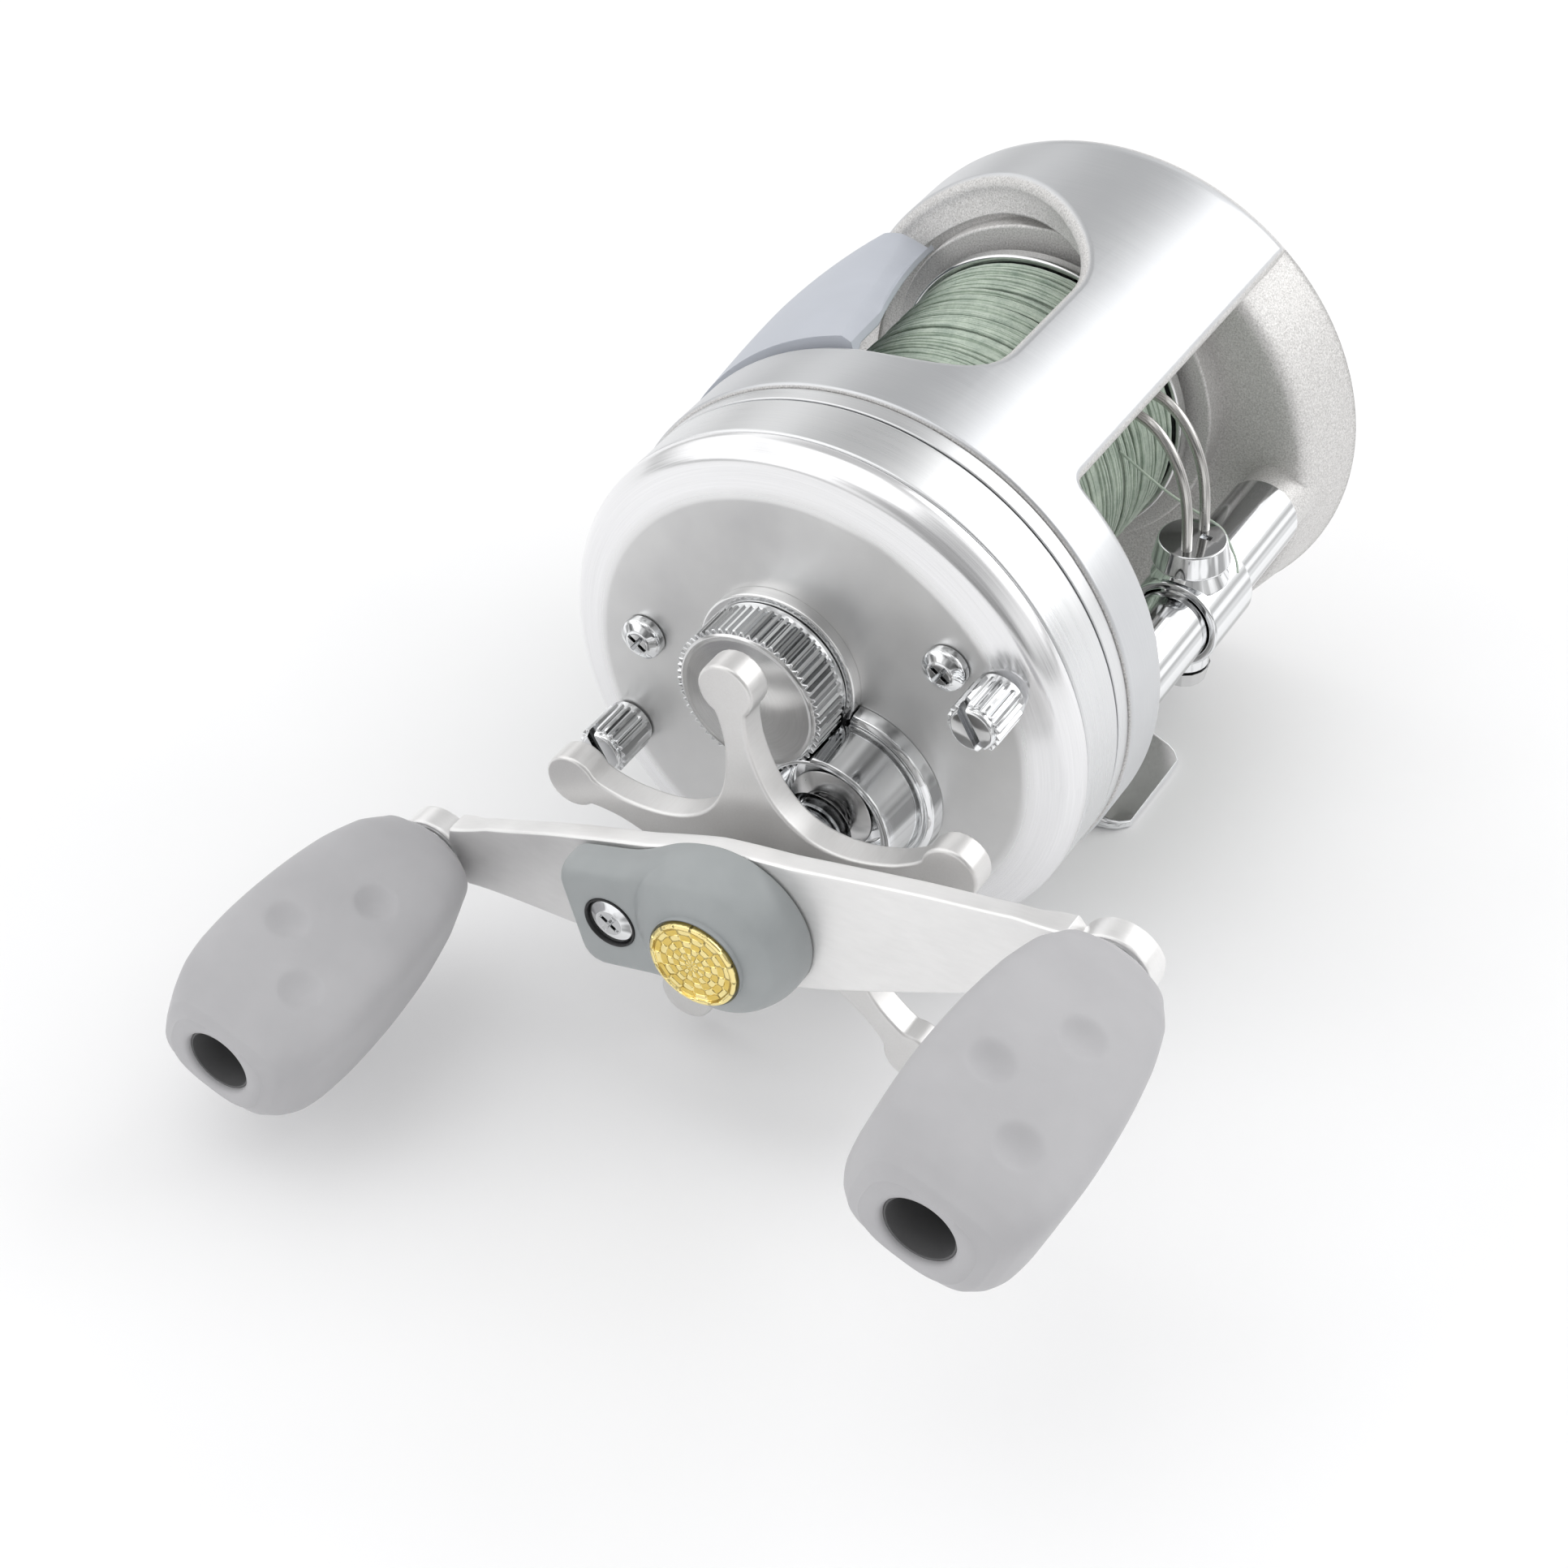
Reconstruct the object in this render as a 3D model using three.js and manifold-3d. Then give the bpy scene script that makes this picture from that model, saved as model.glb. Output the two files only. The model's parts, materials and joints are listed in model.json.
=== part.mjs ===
// Round baitcasting reel, right-hand retrieve.
// Millimetres, +Z up. X runs along the spool axis with the handle on the -X side,
// the line leaves the reel towards -Y and the reel foot is underneath.
import * as THREE from 'three';
import { mergeVertices } from 'three/addons/utils/BufferGeometryUtils.js';
import Module from 'manifold-3d';

const wasm = await Module();
wasm.setup();

// ---------- driving dimensions ----------
// Positions are worked out with x = 0 where the handle side plate meets the frame
// and y = z = 0 on the axis of the round frame.
const BODY_R = 25;
const FRAME_LENGTH = 48;
const NEAR_WALL = 6;
const FAR_WALL = 37.2;
const SHELL = 3;
const BODY = { y: 0, z: 0 };
const SPOOL = { y: 2.2, z: 4 };
const DRIVE = { y: -4.8, z: -5.8 };
const WORM = { y: -20.4, z: -2 };
const FACE_X = -10.5;
const COVER_INSIDE = -9.3;
const CAP_R = 6.9;
const CAP_SEAT_R = 7.4;
const GAP = 0.3;
const BODY_SEGMENTS = 48;

// level wind
const TUBE_R = 3.3;
const GUIDE_X = 20.4;
const WIRE_GAP = 3.5;

// thumb bar
const BAR_INNER = 22.9;
const BAR_OUTER = 25.8;
const BAR_X0 = 7.3;
const BAR_X1 = 37.4;

// openings in the frame, angles in degrees from +Y towards +Z
const FRONT_TOP = 131;
const FRONT_BOTTOM = 243;
const REAR_BOTTOM = 300;
const REAR_TOP = 350;

// spool and line
const FLANGE_R = 14.6;
const SPOOL_X0 = 8.3;
const SPOOL_X1 = 36.2;
const FLANGE_T = 1.1;
const ARBOR_R = 6.6;
const LINE_R = 13.3;
const SHAFT_R = 1.5;

// drive train
const PINION_TEETH = 14;
const MAIN_TEETH = 72;
const MODULE_MAIN = 2 * Math.hypot(SPOOL.y - DRIVE.y, SPOOL.z - DRIVE.z) / (PINION_TEETH + MAIN_TEETH);
const DRIVE_COG_TEETH = 21;
const IDLER_TEETH = 16;
const WORM_COG_TEETH = 10;
const MODULE_COG = 0.5;
const COG_X0 = -4.7;
const COG_X1 = -3.5;

// handle
const HANDLE_REACH = 33.5;
const HANDLE_TILT = THREE.MathUtils.degToRad(14.8);
const BLADE_X = -30;
const BLADE_T = 2;
const KNOB_END = -57.7;
const KNOB_START = -29.05;
const KNOB_BORE = 2.9;
const NUT_SCREW_ALONG = -10.5;

// foot
const FOOT_X = 22.7;
const FOOT_FRONT = -17.5;
const FOOT_REAR = 38;
const FOOT_TOP = -25.1;
const FOOT_SEAT = -27.3;
const FOOT_SCREWS = [-6, 6];

// fixings on the side cover
const THUMB_SCREW_R = 20.2;
const THUMB_SCREW_ANGLE = 154.4;
const THUMB_SCREW_TURNS = [0, 180];
const THUMB_SCREW_BORE = 1.5;
const CROSS_SCREWS = [{ y: -13.4, z: 9.9 }, { y: 16, z: 1.8 }];
const CROSS_SCREW_BORE = 1.2;

const ORIGIN = new THREE.Vector3(FOOT_X, (FOOT_FRONT + FOOT_REAR) / 2, FOOT_SEAT);

// ---------- materials ----------
const FINISH = {
  aluminium: [0xc9cbcc, 0.35, 1],
  satin: [0xd2d3d3, 0.45, 1],
  chrome: [0xe4e6e8, 0.08, 1],
  steel: [0xa9abad, 0.3, 1],
  brass: [0xb8964a, 0.35, 1],
  gold: [0xe0b93c, 0.25, 1],
  bluegrey: [0xa4acb3, 0.5, 0],
  coverplastic: [0x8f9698, 0.45, 0],
  rubber: [0x9b9c9c, 0.8, 0],
  fibre: [0x3a3733, 0.85, 0],
  black: [0x1c1d1f, 0.6, 0],
  line: [0x9db09c, 0.8, 0],
};

function material(finish) {
  const [color, roughness, metalness] = FINISH[finish];
  return new THREE.MeshStandardMaterial({ color, roughness, metalness });
}

// ---------- geometry helpers ----------
function tidy(geometry) {
  geometry.deleteAttribute('normal');
  geometry.deleteAttribute('uv');
  const merged = mergeVertices(geometry, 1e-4);
  const index = merged.index.array;
  const position = merged.attributes.position;
  const kept = [];
  let volume = 0;
  const [a, b, c] = [new THREE.Vector3(), new THREE.Vector3(), new THREE.Vector3()];
  for (let i = 0; i < index.length; i += 3) {
    const [i0, i1, i2] = [index[i], index[i + 1], index[i + 2]];
    if (i0 === i1 || i1 === i2 || i0 === i2) continue;
    kept.push(i0, i1, i2);
    a.fromBufferAttribute(position, i0);
    b.fromBufferAttribute(position, i1);
    c.fromBufferAttribute(position, i2);
    volume += a.dot(b.cross(c));
  }
  if (volume < 0) {
    for (let i = 0; i < kept.length; i += 3) [kept[i + 1], kept[i + 2]] = [kept[i + 2], kept[i + 1]];
  }
  merged.setIndex(kept);
  return merged;
}

function toManifold(geometry) {
  return new wasm.Manifold(new wasm.Mesh({
    numProp: 3,
    vertProperties: new Float32Array(geometry.attributes.position.array),
    triVerts: new Uint32Array(geometry.index.array),
  }));
}

function fromManifold(solid) {
  const mesh = solid.getMesh();
  const geometry = new THREE.BufferGeometry();
  geometry.setAttribute('position', new THREE.BufferAttribute(mesh.vertProperties, 3));
  geometry.setIndex(new THREE.BufferAttribute(mesh.triVerts, 1));
  return geometry;
}

function cut(body, ...tools) {
  return fromManifold(tools.reduce((left, tool) => left.subtract(toManifold(tool)), toManifold(body)));
}

function fuse(body, ...others) {
  return fromManifold(others.reduce((sum, other) => sum.add(toManifold(other)), toManifold(body)));
}

function common(body, other) {
  return fromManifold(toManifold(body).intersect(toManifold(other)));
}

// Points [x, r] on an arc about (cx, cr), angles in degrees from +x towards +r.
function arc(cx, cr, radius, from, to, steps) {
  const points = [];
  for (let i = 0; i <= steps; i++) {
    const a = THREE.MathUtils.degToRad(from + (to - from) * i / steps);
    points.push([cx + radius * Math.cos(a), cr + radius * Math.sin(a)]);
  }
  return points;
}

// Solid of revolution about the X direction through a centre, from [x, r] points.
function turned(points, centre, segments = 32) {
  const geometry = new THREE.LatheGeometry(points.map(([x, r]) => new THREE.Vector2(r, x)), segments);
  geometry.rotateZ(-Math.PI / 2);
  geometry.translate(0, centre.y, centre.z);
  return tidy(geometry);
}

// Outer outline from x0 to x1, with an edge broken at both ends when asked for.
function rim(x0, x1, radius, edge) {
  if (edge === 0) return [[x0, radius], [x1, radius]];
  return [[x0, radius - edge], [x0 + edge, radius], [x1 - edge, radius], [x1, radius - edge]];
}

function rod(x0, x1, radius, centre, segments = 20, edge = 0) {
  return turned([[x0, 0], ...rim(x0, x1, radius, edge), [x1, 0]], centre, segments);
}

function ring(x0, x1, inner, outer, centre, segments = 32, edge = 0) {
  return turned([[x0, inner], ...rim(x0, x1, outer, edge), [x1, inner], [x0, inner]], centre, segments);
}

// Extrusion of an outline drawn in (y, z) along X, between x0 and x1.
function slab(shape, x0, x1, centre, bevel = 0, bevelSegments = 2, curveSegments = 8) {
  const geometry = new THREE.ExtrudeGeometry(shape, {
    depth: x1 - x0 - 2 * bevel,
    bevelEnabled: bevel > 0,
    bevelThickness: bevel,
    bevelSize: bevel,
    bevelOffset: -bevel,
    bevelSegments,
    curveSegments,
  });
  const toX = new THREE.Matrix4().makeBasis(
    new THREE.Vector3(0, 1, 0), new THREE.Vector3(0, 0, 1), new THREE.Vector3(1, 0, 0));
  geometry.applyMatrix4(toX);
  geometry.translate(x0 + bevel, centre.y, centre.z);
  return tidy(geometry);
}

function box(x0, x1, y0, y1, z0, z1) {
  const geometry = new THREE.BoxGeometry(x1 - x0, y1 - y0, z1 - z0);
  geometry.translate((x0 + x1) / 2, (y0 + y1) / 2, (z0 + z1) / 2);
  return tidy(geometry);
}

function polygon(points) {
  return new THREE.Shape(points.map(([a, b]) => new THREE.Vector2(a, b)));
}

function polar(radius, degrees) {
  const a = THREE.MathUtils.degToRad(degrees);
  return { y: radius * Math.cos(a), z: radius * Math.sin(a) };
}

function thumbScrewSpot(turn) {
  return polar(THUMB_SCREW_R, THUMB_SCREW_ANGLE + turn);
}

function thumbScrewRods(x0, x1, radius) {
  return THUMB_SCREW_TURNS.map((turn) => rod(x0, x1, radius, thumbScrewSpot(turn), 8));
}

function crossScrewBores(x0, x1) {
  return CROSS_SCREWS.map((p) => rod(x0, x1, CROSS_SCREW_BORE, p, 8));
}

// Sector of a turned cutter between two angles about the body axis.
function sector(points, from, to) {
  const reach = 3 * BODY_R;
  const rim = [];
  const steps = Math.ceil((to - from) / 30);
  for (let i = 0; i <= steps; i++) {
    const p = polar(reach, from + (to - from) * i / steps);
    rim.push([p.y, p.z]);
  }
  const wedge = slab(polygon([[0, 0], ...rim]), -5, FRAME_LENGTH + 5, BODY);
  return common(turned(points, BODY, 36), wedge);
}

// Outline with teeth: flat-topped ones, or plain V shapes for fine pitches.
const FLAT_TOOTH = [[0, -0.35], [1, -0.12], [1, 0.12], [0, 0.35]];
const V_TOOTH = [[0, -0.5], [1, 0]];

function toothed(teeth, root, tip, tooth, phase = 0) {
  const points = [];
  for (let i = 0; i < teeth; i++) {
    for (const [height, share] of tooth) {
      const radius = root + height * (tip - root);
      const a = phase + 2 * Math.PI * (i + share) / teeth;
      points.push([radius * Math.cos(a), radius * Math.sin(a)]);
    }
  }
  return polygon(points);
}

function gear(teeth, module, x0, x1, centre, tooth, phase) {
  const pitch = teeth * module / 2;
  return slab(toothed(teeth, pitch - 1.2 * module, pitch + 0.8 * module, tooth, phase), x0, x1, centre);
}

function bearing(from, to) {
  return Math.atan2(to.z - from.z, to.y - from.y);
}

// Tooth phase of a gear meshing with a neighbour whose tooth phase is known.
function meshPhase(teeth, centre, otherTeeth, otherCentre, otherPhase) {
  const towards = bearing(otherCentre, centre);
  const step = 2 * Math.PI / otherTeeth;
  const offset = otherPhase - towards;
  const nearest = offset - step * Math.round(offset / step);
  return towards + Math.PI - nearest * otherTeeth / teeth + Math.PI / teeth;
}

// ---------- fixed frame ----------
const FLARE = [[FAR_WALL, 19], [38.6, 21.2], [41.8, 23.6], [45.2, 25.2]];

function frame() {
  const edge = 2.8;
  const outer = [[0, 0], [0, BODY_R - 0.3], [0.3, BODY_R],
    ...arc(FRAME_LENGTH - edge, BODY_R - edge, edge, 90, 0, 3), [FRAME_LENGTH, 0]];
  const inside = BODY_R - SHELL;
  const toAxis = [[38.6, 21.2], [FAR_WALL, 19], [FAR_WALL, 0]];
  const hollow = [[NEAR_WALL, 0], [NEAR_WALL, inside], [39.7, inside], ...toAxis];
  const opening = [[NEAR_WALL, 0], [NEAR_WALL, 30], [45.2, 30], ...FLARE.slice().reverse(), [FAR_WALL, 0]];
  const pad = common(box(13, 32.4, -9, 9, FOOT_TOP - 0.02, -20), rod(7, 40, 40, BODY));
  let body = cut(turned(outer, BODY, BODY_SEGMENTS),
    turned(hollow, BODY, 32),
    sector(opening, FRONT_TOP, FRONT_BOTTOM),
    sector(opening, REAR_BOTTOM, REAR_TOP),
    thumbOpening(),
    rod(-1, NEAR_WALL + 0.5, FLANGE_R + 1, SPOOL, 36));
  body = fuse(body, cut(pad, turned(hollow, BODY, 32)));
  return cut(body,
    turned([[37, 0], [37, 11], [40, 11], [40, 5.2], [37.8, 5.2], [37.8, 0]], SPOOL),
    rod(36, 41.2, 4.4, SPOOL),
    rod(40, 44.5, 2.2, SPOOL),
    rod(-1, 39.2, 3.6, WORM),
    ...thumbScrewRods(-1, 4.6, THUMB_SCREW_BORE),
    ...FOOT_SCREWS.map((y) => upright(FOOT_X, y, -27, -22.2, 1.3)));
}

// Opening over the spool: drawn in (x, distance round the rim) and cut along a 45 degree direction.
function thumbOpening() {
  const low = -20.6;
  const top = 20.5;
  const corner = 15;
  const near = NEAR_WALL + 1;
  const far = 39.3;
  const outline = new THREE.Shape();
  outline.moveTo(near, -low);
  outline.lineTo(near, -(top - 6));
  outline.quadraticCurveTo(near + 0.3, -top, near + 6, -top);
  outline.lineTo(far - corner, -top);
  outline.absellipse(far - corner, -(top - corner), corner, corner, -Math.PI / 2, 0, false);
  outline.lineTo(far, -low);
  const geometry = new THREE.ExtrudeGeometry(outline, { depth: 30, bevelEnabled: false, curveSegments: 9 });
  const half = Math.SQRT1_2;
  geometry.applyMatrix4(new THREE.Matrix4().makeBasis(
    new THREE.Vector3(1, 0, 0), new THREE.Vector3(0, half, -half), new THREE.Vector3(0, half, half)));
  geometry.translate(0, 6 * half, 6 * half);
  return tidy(geometry);
}

// Vertical round bar or hole.
function upright(x, y, z0, z1, radius, segments = 16, topRadius = radius) {
  const geometry = new THREE.CylinderGeometry(topRadius, radius, z1 - z0, segments);
  geometry.rotateX(Math.PI / 2);
  geometry.translate(x, y, (z0 + z1) / 2);
  return tidy(geometry);
}

function foot() {
  const half = 6.8;
  const waist = 8.6;
  const outline = new THREE.Shape();
  const nose = 3.4;
  outline.moveTo(FOOT_X - half, FOOT_FRONT + nose);
  outline.quadraticCurveTo(FOOT_X - half, FOOT_FRONT, FOOT_X - half + nose, FOOT_FRONT);
  outline.lineTo(FOOT_X + half - nose, FOOT_FRONT);
  outline.quadraticCurveTo(FOOT_X + half, FOOT_FRONT, FOOT_X + half, FOOT_FRONT + nose);
  outline.quadraticCurveTo(FOOT_X + waist + 1, 0, FOOT_X + half, 14);
  outline.lineTo(FOOT_X + half - 0.6, FOOT_REAR - nose);
  outline.quadraticCurveTo(FOOT_X + half - 0.6, FOOT_REAR, FOOT_X + half - 0.6 - nose, FOOT_REAR);
  outline.lineTo(FOOT_X - half + 0.6 + nose, FOOT_REAR);
  outline.quadraticCurveTo(FOOT_X - half + 0.6, FOOT_REAR, FOOT_X - half + 0.6, FOOT_REAR - nose);
  outline.lineTo(FOOT_X - half, 14);
  outline.quadraticCurveTo(FOOT_X - waist - 1, 0, FOOT_X - half, FOOT_FRONT + nose);
  const bevel = 0.7;
  const geometry = new THREE.ExtrudeGeometry(outline, {
    depth: FOOT_TOP - FOOT_SEAT - 0.02 - 2 * bevel,
    bevelThickness: bevel,
    bevelSize: bevel,
    bevelOffset: -bevel,
    bevelSegments: 1,
    curveSegments: 4,
  });
  geometry.translate(0, 0, FOOT_SEAT + bevel);
  return cut(tidy(geometry),
    ...FOOT_SCREWS.map((y) => upright(FOOT_X, y, -28, -24, 1.5)),
    ...FOOT_SCREWS.map((y) => upright(FOOT_X, y, FOOT_SEAT - 0.1, FOOT_SEAT + 1.2, 3, 16, 1.6)));
}

function footScrew(y) {
  return fuse(upright(FOOT_X, y, FOOT_SEAT + 0.1, FOOT_SEAT + 1.1, 2.5, 16, 1.2),
    upright(FOOT_X, y, FOOT_SEAT + 0.6, -22.5, 1.1));
}

// ---------- handle side plate ----------
function sideCover() {
  const rimR = BODY_R - 0.4;
  const outer = [[-7.1, rimR], [-8, rimR], [-9.3, 24], [-10.1, 22.4], [FACE_X, 19.8]];
  const inner = [[COVER_INSIDE, 19.8], [-8.9, 22], [-7.1, 23.2]];
  const section = [...outer, [FACE_X, 4], [COVER_INSIDE, 4], ...inner, [-7.1, rimR]];
  const shell = turned(section, BODY, BODY_SEGMENTS);
  const seat = ring(-14.2, COVER_INSIDE, 4.2, 5.2, SPOOL, 24);
  const flange = ring(-11.6, COVER_INSIDE, 5, CAP_SEAT_R, SPOOL, 28);
  const plug = rod(FACE_X, COVER_INSIDE, 5, BODY, 16);
  return cut(fuse(shell, plug, seat, flange, ...thumbScrewRods(FACE_X - 0.1, -8.6, 2.6)),
    rod(-16, -5, 4.3, SPOOL, 24),
    rod(-12, -5, 6.4, DRIVE, 28),
    ...crossScrewBores(-12, -5),
    ...thumbScrewRods(-12, -5, THUMB_SCREW_BORE));
}

function gearRing() {
  const outer = BODY_R - 0.4;
  const inner = 22.4;
  const body = ring(-7, -1.8, inner, outer, BODY, BODY_SEGMENTS);
  const lugs = [...CROSS_SCREWS, ...THUMB_SCREW_TURNS.map(thumbScrewSpot)];
  const bosses = lugs.map((p) => {
    const reach = BODY_R - 1 - Math.hypot(p.y, p.z);
    const angle = Math.atan2(p.z, p.y);
    const arm = box(-6.9, -1.9, 0, reach, -1.9, 1.9);
    arm.rotateX(angle);
    arm.translate(0, p.y, p.z);
    return fuse(rod(-6.9, -1.9, 1.9, p, 10), arm);
  });
  return cut(fuse(body, ...bosses),
    rod(-5.2, -3, 3.4, WORM, 16),
    ...crossScrewBores(-8, -2.4),
    ...thumbScrewRods(-8, 0, THUMB_SCREW_BORE));
}

const IDLER = (() => {
  const toDrive = (DRIVE_COG_TEETH + IDLER_TEETH) * MODULE_COG / 2;
  const toWorm = (WORM_COG_TEETH + IDLER_TEETH) * MODULE_COG / 2;
  const dy = WORM.y - DRIVE.y;
  const dz = WORM.z - DRIVE.z;
  const span = Math.hypot(dy, dz);
  const along = (span * span + toDrive * toDrive - toWorm * toWorm) / (2 * span);
  const aside = Math.sqrt(Math.max(0, toDrive * toDrive - along * along));
  return { y: DRIVE.y + (dy * along + dz * aside) / span, z: DRIVE.z + (dz * along - dy * aside) / span };
})();

function gearPlate() {
  const plate = rod(-1.7, -0.1, BODY_R - 0.5, BODY, BODY_SEGMENTS);
  const post = rod(-5.4, -1.2, 0.9, IDLER, 12);
  const bush = ring(-3.2, -1.2, 2.6, 3.6, DRIVE, 20);
  return cut(fuse(plate, post, bush),
    rod(-5, 1, 2.6, DRIVE),
    rod(-5, 1, 3.6, SPOOL),
    rod(-5, 1, 2.6, WORM),
    box(-5, 1, 7, 11.2, 10.6, 17.2),
    ...thumbScrewRods(-5, 1, THUMB_SCREW_BORE));
}

// Raised cross-recessed screw along X with its head facing -X.
function crossScrew(centre, headX, headR, headT, shankR, endX) {
  const dome = [[headX + headT, 0], [headX + headT, headR], [headX + 0.45 * headT, headR],
    [headX + 0.12 * headT, 0.75 * headR], [headX, 0.4 * headR], [headX, 0]];
  const head = fuse(turned(dome.reverse(), centre, 16), rod(headX + headT / 2, endX, shankR, centre, 8));
  const arm = 0.62 * headR;
  const slot = 0.16 * headR;
  const depth = 0.55 * headT;
  const across = (w, h) => box(headX - 1, headX + depth, -w, w, -h, h).translate(0, centre.y, centre.z);
  return cut(head, across(arm, slot), across(slot, arm));
}

function thumbScrew(turn) {
  const centre = thumbScrewSpot(turn);
  const headR = 2.35;
  const headX = -15.6;
  const seat = FACE_X - 0.15;
  const knurl = slab(toothed(20, headR - 0.22, headR, V_TOOTH), headX + 0.3, seat - 0.7, centre);
  const profile = [[headX, 0], [headX, 1.8], [headX + 0.35, 2.1], [seat - 0.8, 2.1], [seat, 2.2], [seat, 0]];
  const core = turned(profile, centre, 14);
  const shank = rod(seat - 0.5, 4.2, 1.2, centre, 8);
  const slot = box(headX - 1, headX + 1.3, centre.y - 3, centre.y + 3, centre.z - 0.4, centre.z + 0.4);
  return cut(fuse(core, knurl, shank), slot);
}

// ---------- spool group ----------
function spool() {
  const a = SPOOL_X0;
  const b = SPOOL_X1;
  const lip = 0.5;
  const half = [[a, SHAFT_R + GAP], [a, FLANGE_R], [a + FLANGE_T + lip, FLANGE_R],
    [a + FLANGE_T, FLANGE_R - 1.1], [a + FLANGE_T, ARBOR_R]];
  const other = half.map(([x, r]) => [a + b - x, r]).reverse();
  return turned([...half, ...other, half[0]], SPOOL, 36);
}

function linePack() {
  const a = SPOOL_X0 + FLANGE_T + 0.15;
  const b = SPOOL_X1 - FLANGE_T - 0.15;
  const crown = [];
  const steps = 2;
  for (let i = 0; i <= steps; i++) {
    const t = i / steps;
    crown.push([a + 0.5 + (b - a - 1) * t, LINE_R - 0.35 + 0.35 * Math.sin(Math.PI * t)]);
  }
  return turned([[a, ARBOR_R + 0.2], [a, LINE_R - 0.9], ...crown, [b, LINE_R - 0.9], [b, ARBOR_R + 0.2],
    [a, ARBOR_R + 0.2]], SPOOL, 28);
}

function spoolShaft() {
  const thin = 0.9;
  return turned([[-13.6, 0], [-13.6, thin], [-0.6, thin], [-0.6, SHAFT_R], [43.2, SHAFT_R],
    [43.6, SHAFT_R - 0.4], [43.6, 0]], SPOOL, 16);
}

function pinion() {
  const teeth = gear(PINION_TEETH, MODULE_MAIN, -8.9, -5.3, SPOOL, V_TOOTH,
    meshPhase(PINION_TEETH, SPOOL, MAIN_TEETH, DRIVE, 0));
  const collar = turned([[-5.45, 0], [-5.45, 3], [-5, 3], [-5, 2.2], [-3.6, 2.2], [-3.6, 3], [-2.9, 3],
    [-2.9, 2.6], [-1.4, 2.6], [-1.4, 0]], SPOOL, 14);
  const dogs = box(-2.1, 0, SPOOL.y - 3, SPOOL.y + 3, SPOOL.z - 0.5, SPOOL.z + 0.5);
  return cut(fuse(teeth, collar), rod(-10, 1, 1.15, SPOOL, 16), dogs);
}

function brakeHub() {
  return turned([[36.6, SHAFT_R + GAP], [36.6, 8], [38.4, 8], [38.4, 5.6], [37.4, 5.6], [37.4, SHAFT_R + GAP],
    [36.6, SHAFT_R + GAP]], SPOOL, 20);
}

function brakeBlock(degrees) {
  const p = polar(8.75, degrees);
  return rod(37.1, 38.4, 0.55, { y: SPOOL.y + p.y, z: SPOOL.z + p.z }, 10);
}

// ---------- gears and clutch on the handle side ----------
function mainGear() {
  const blank = gear(MAIN_TEETH, MODULE_MAIN, -8.6, -6.4, DRIVE, V_TOOTH, 0);
  return cut(blank, ring(-9, -7.3, 3.4, 8.3, DRIVE, 28), rod(-10, 0, 2.6, DRIVE));
}

const IDLER_PHASE = meshPhase(IDLER_TEETH, IDLER, DRIVE_COG_TEETH, DRIVE, 0);
const WORM_PHASE = meshPhase(WORM_COG_TEETH, WORM, IDLER_TEETH, IDLER, IDLER_PHASE);

function cog(teeth, centre, phase, bore) {
  const blank = gear(teeth, MODULE_COG, COG_X0, COG_X1, centre, FLAT_TOOTH, phase);
  return cut(blank, rod(-10, 0, bore, centre, 12));
}

function ratchet() {
  const teeth = 12;
  const points = [];
  for (let i = 0; i < teeth; i++) {
    const a = 2 * Math.PI * i / teeth;
    const b = 2 * Math.PI * (i + 0.92) / teeth;
    points.push([3.9 * Math.cos(a), 3.9 * Math.sin(a)], [5 * Math.cos(b), 5 * Math.sin(b)]);
  }
  return cut(slab(polygon(points), -6, -5, DRIVE), rod(-10, 0, 2.6, DRIVE));
}

function clutchYoke() {
  const fork = 2.5;
  const shape = new THREE.Shape();
  shape.moveTo(-5.2, 1.8);
  shape.lineTo(-5.2, 4.2);
  shape.lineTo(3, 4.2);
  shape.lineTo(5.4, 10.8);
  shape.lineTo(8.4, 10.8);
  shape.lineTo(8.4, 8.6);
  shape.lineTo(5.2, 1.8);
  shape.lineTo(5.2, -1.6);
  shape.lineTo(fork, -1.6);
  shape.lineTo(fork, 0);
  shape.absarc(0, 0, fork, 0, Math.PI, false);
  shape.lineTo(-fork, -1.6);
  shape.lineTo(-5.2, -1.6);
  return slab(shape, -4.75, -3.85, SPOOL);
}

// ---------- drive shaft, drag and handle ----------
function driveShaft() {
  return turned([[-33.2, 0], [-33.2, 1.5], [-32.9, 1.7], [-27.6, 1.7], [-27.6, 2], [-15, 2], [-15, 2.3],
    [-0.5, 2.3], [-0.3, 2.1], [-0.3, 0]], DRIVE, 16);
}

// Stepped boss with a thin cup on it, both relieved beside the tension cap.
function shaftCollar() {
  const collar = turned([[-9.2, 5.9], [-9.2, 6.1], [-10.7, 6.1], [-10.7, 8.5], [-12.7, 8.35], [-12.7, 7.05],
    [-16.6, 6.6], [-16.6, 6.05], [-14, 5.9], [-9.2, 5.9]], DRIVE, 28);
  return cut(collar, rod(-12.1, -9, CAP_SEAT_R + GAP, SPOOL, 28), rod(-17, -12, CAP_R + GAP, SPOOL, 28));
}

function springCup() {
  return turned([[-9.6, 3], [-9.6, 4.8], [-16.3, 4.8], [-16.3, 4.3], [-12.4, 4.2], [-12.4, 3], [-9.6, 3]],
    DRIVE, 24);
}

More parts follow.
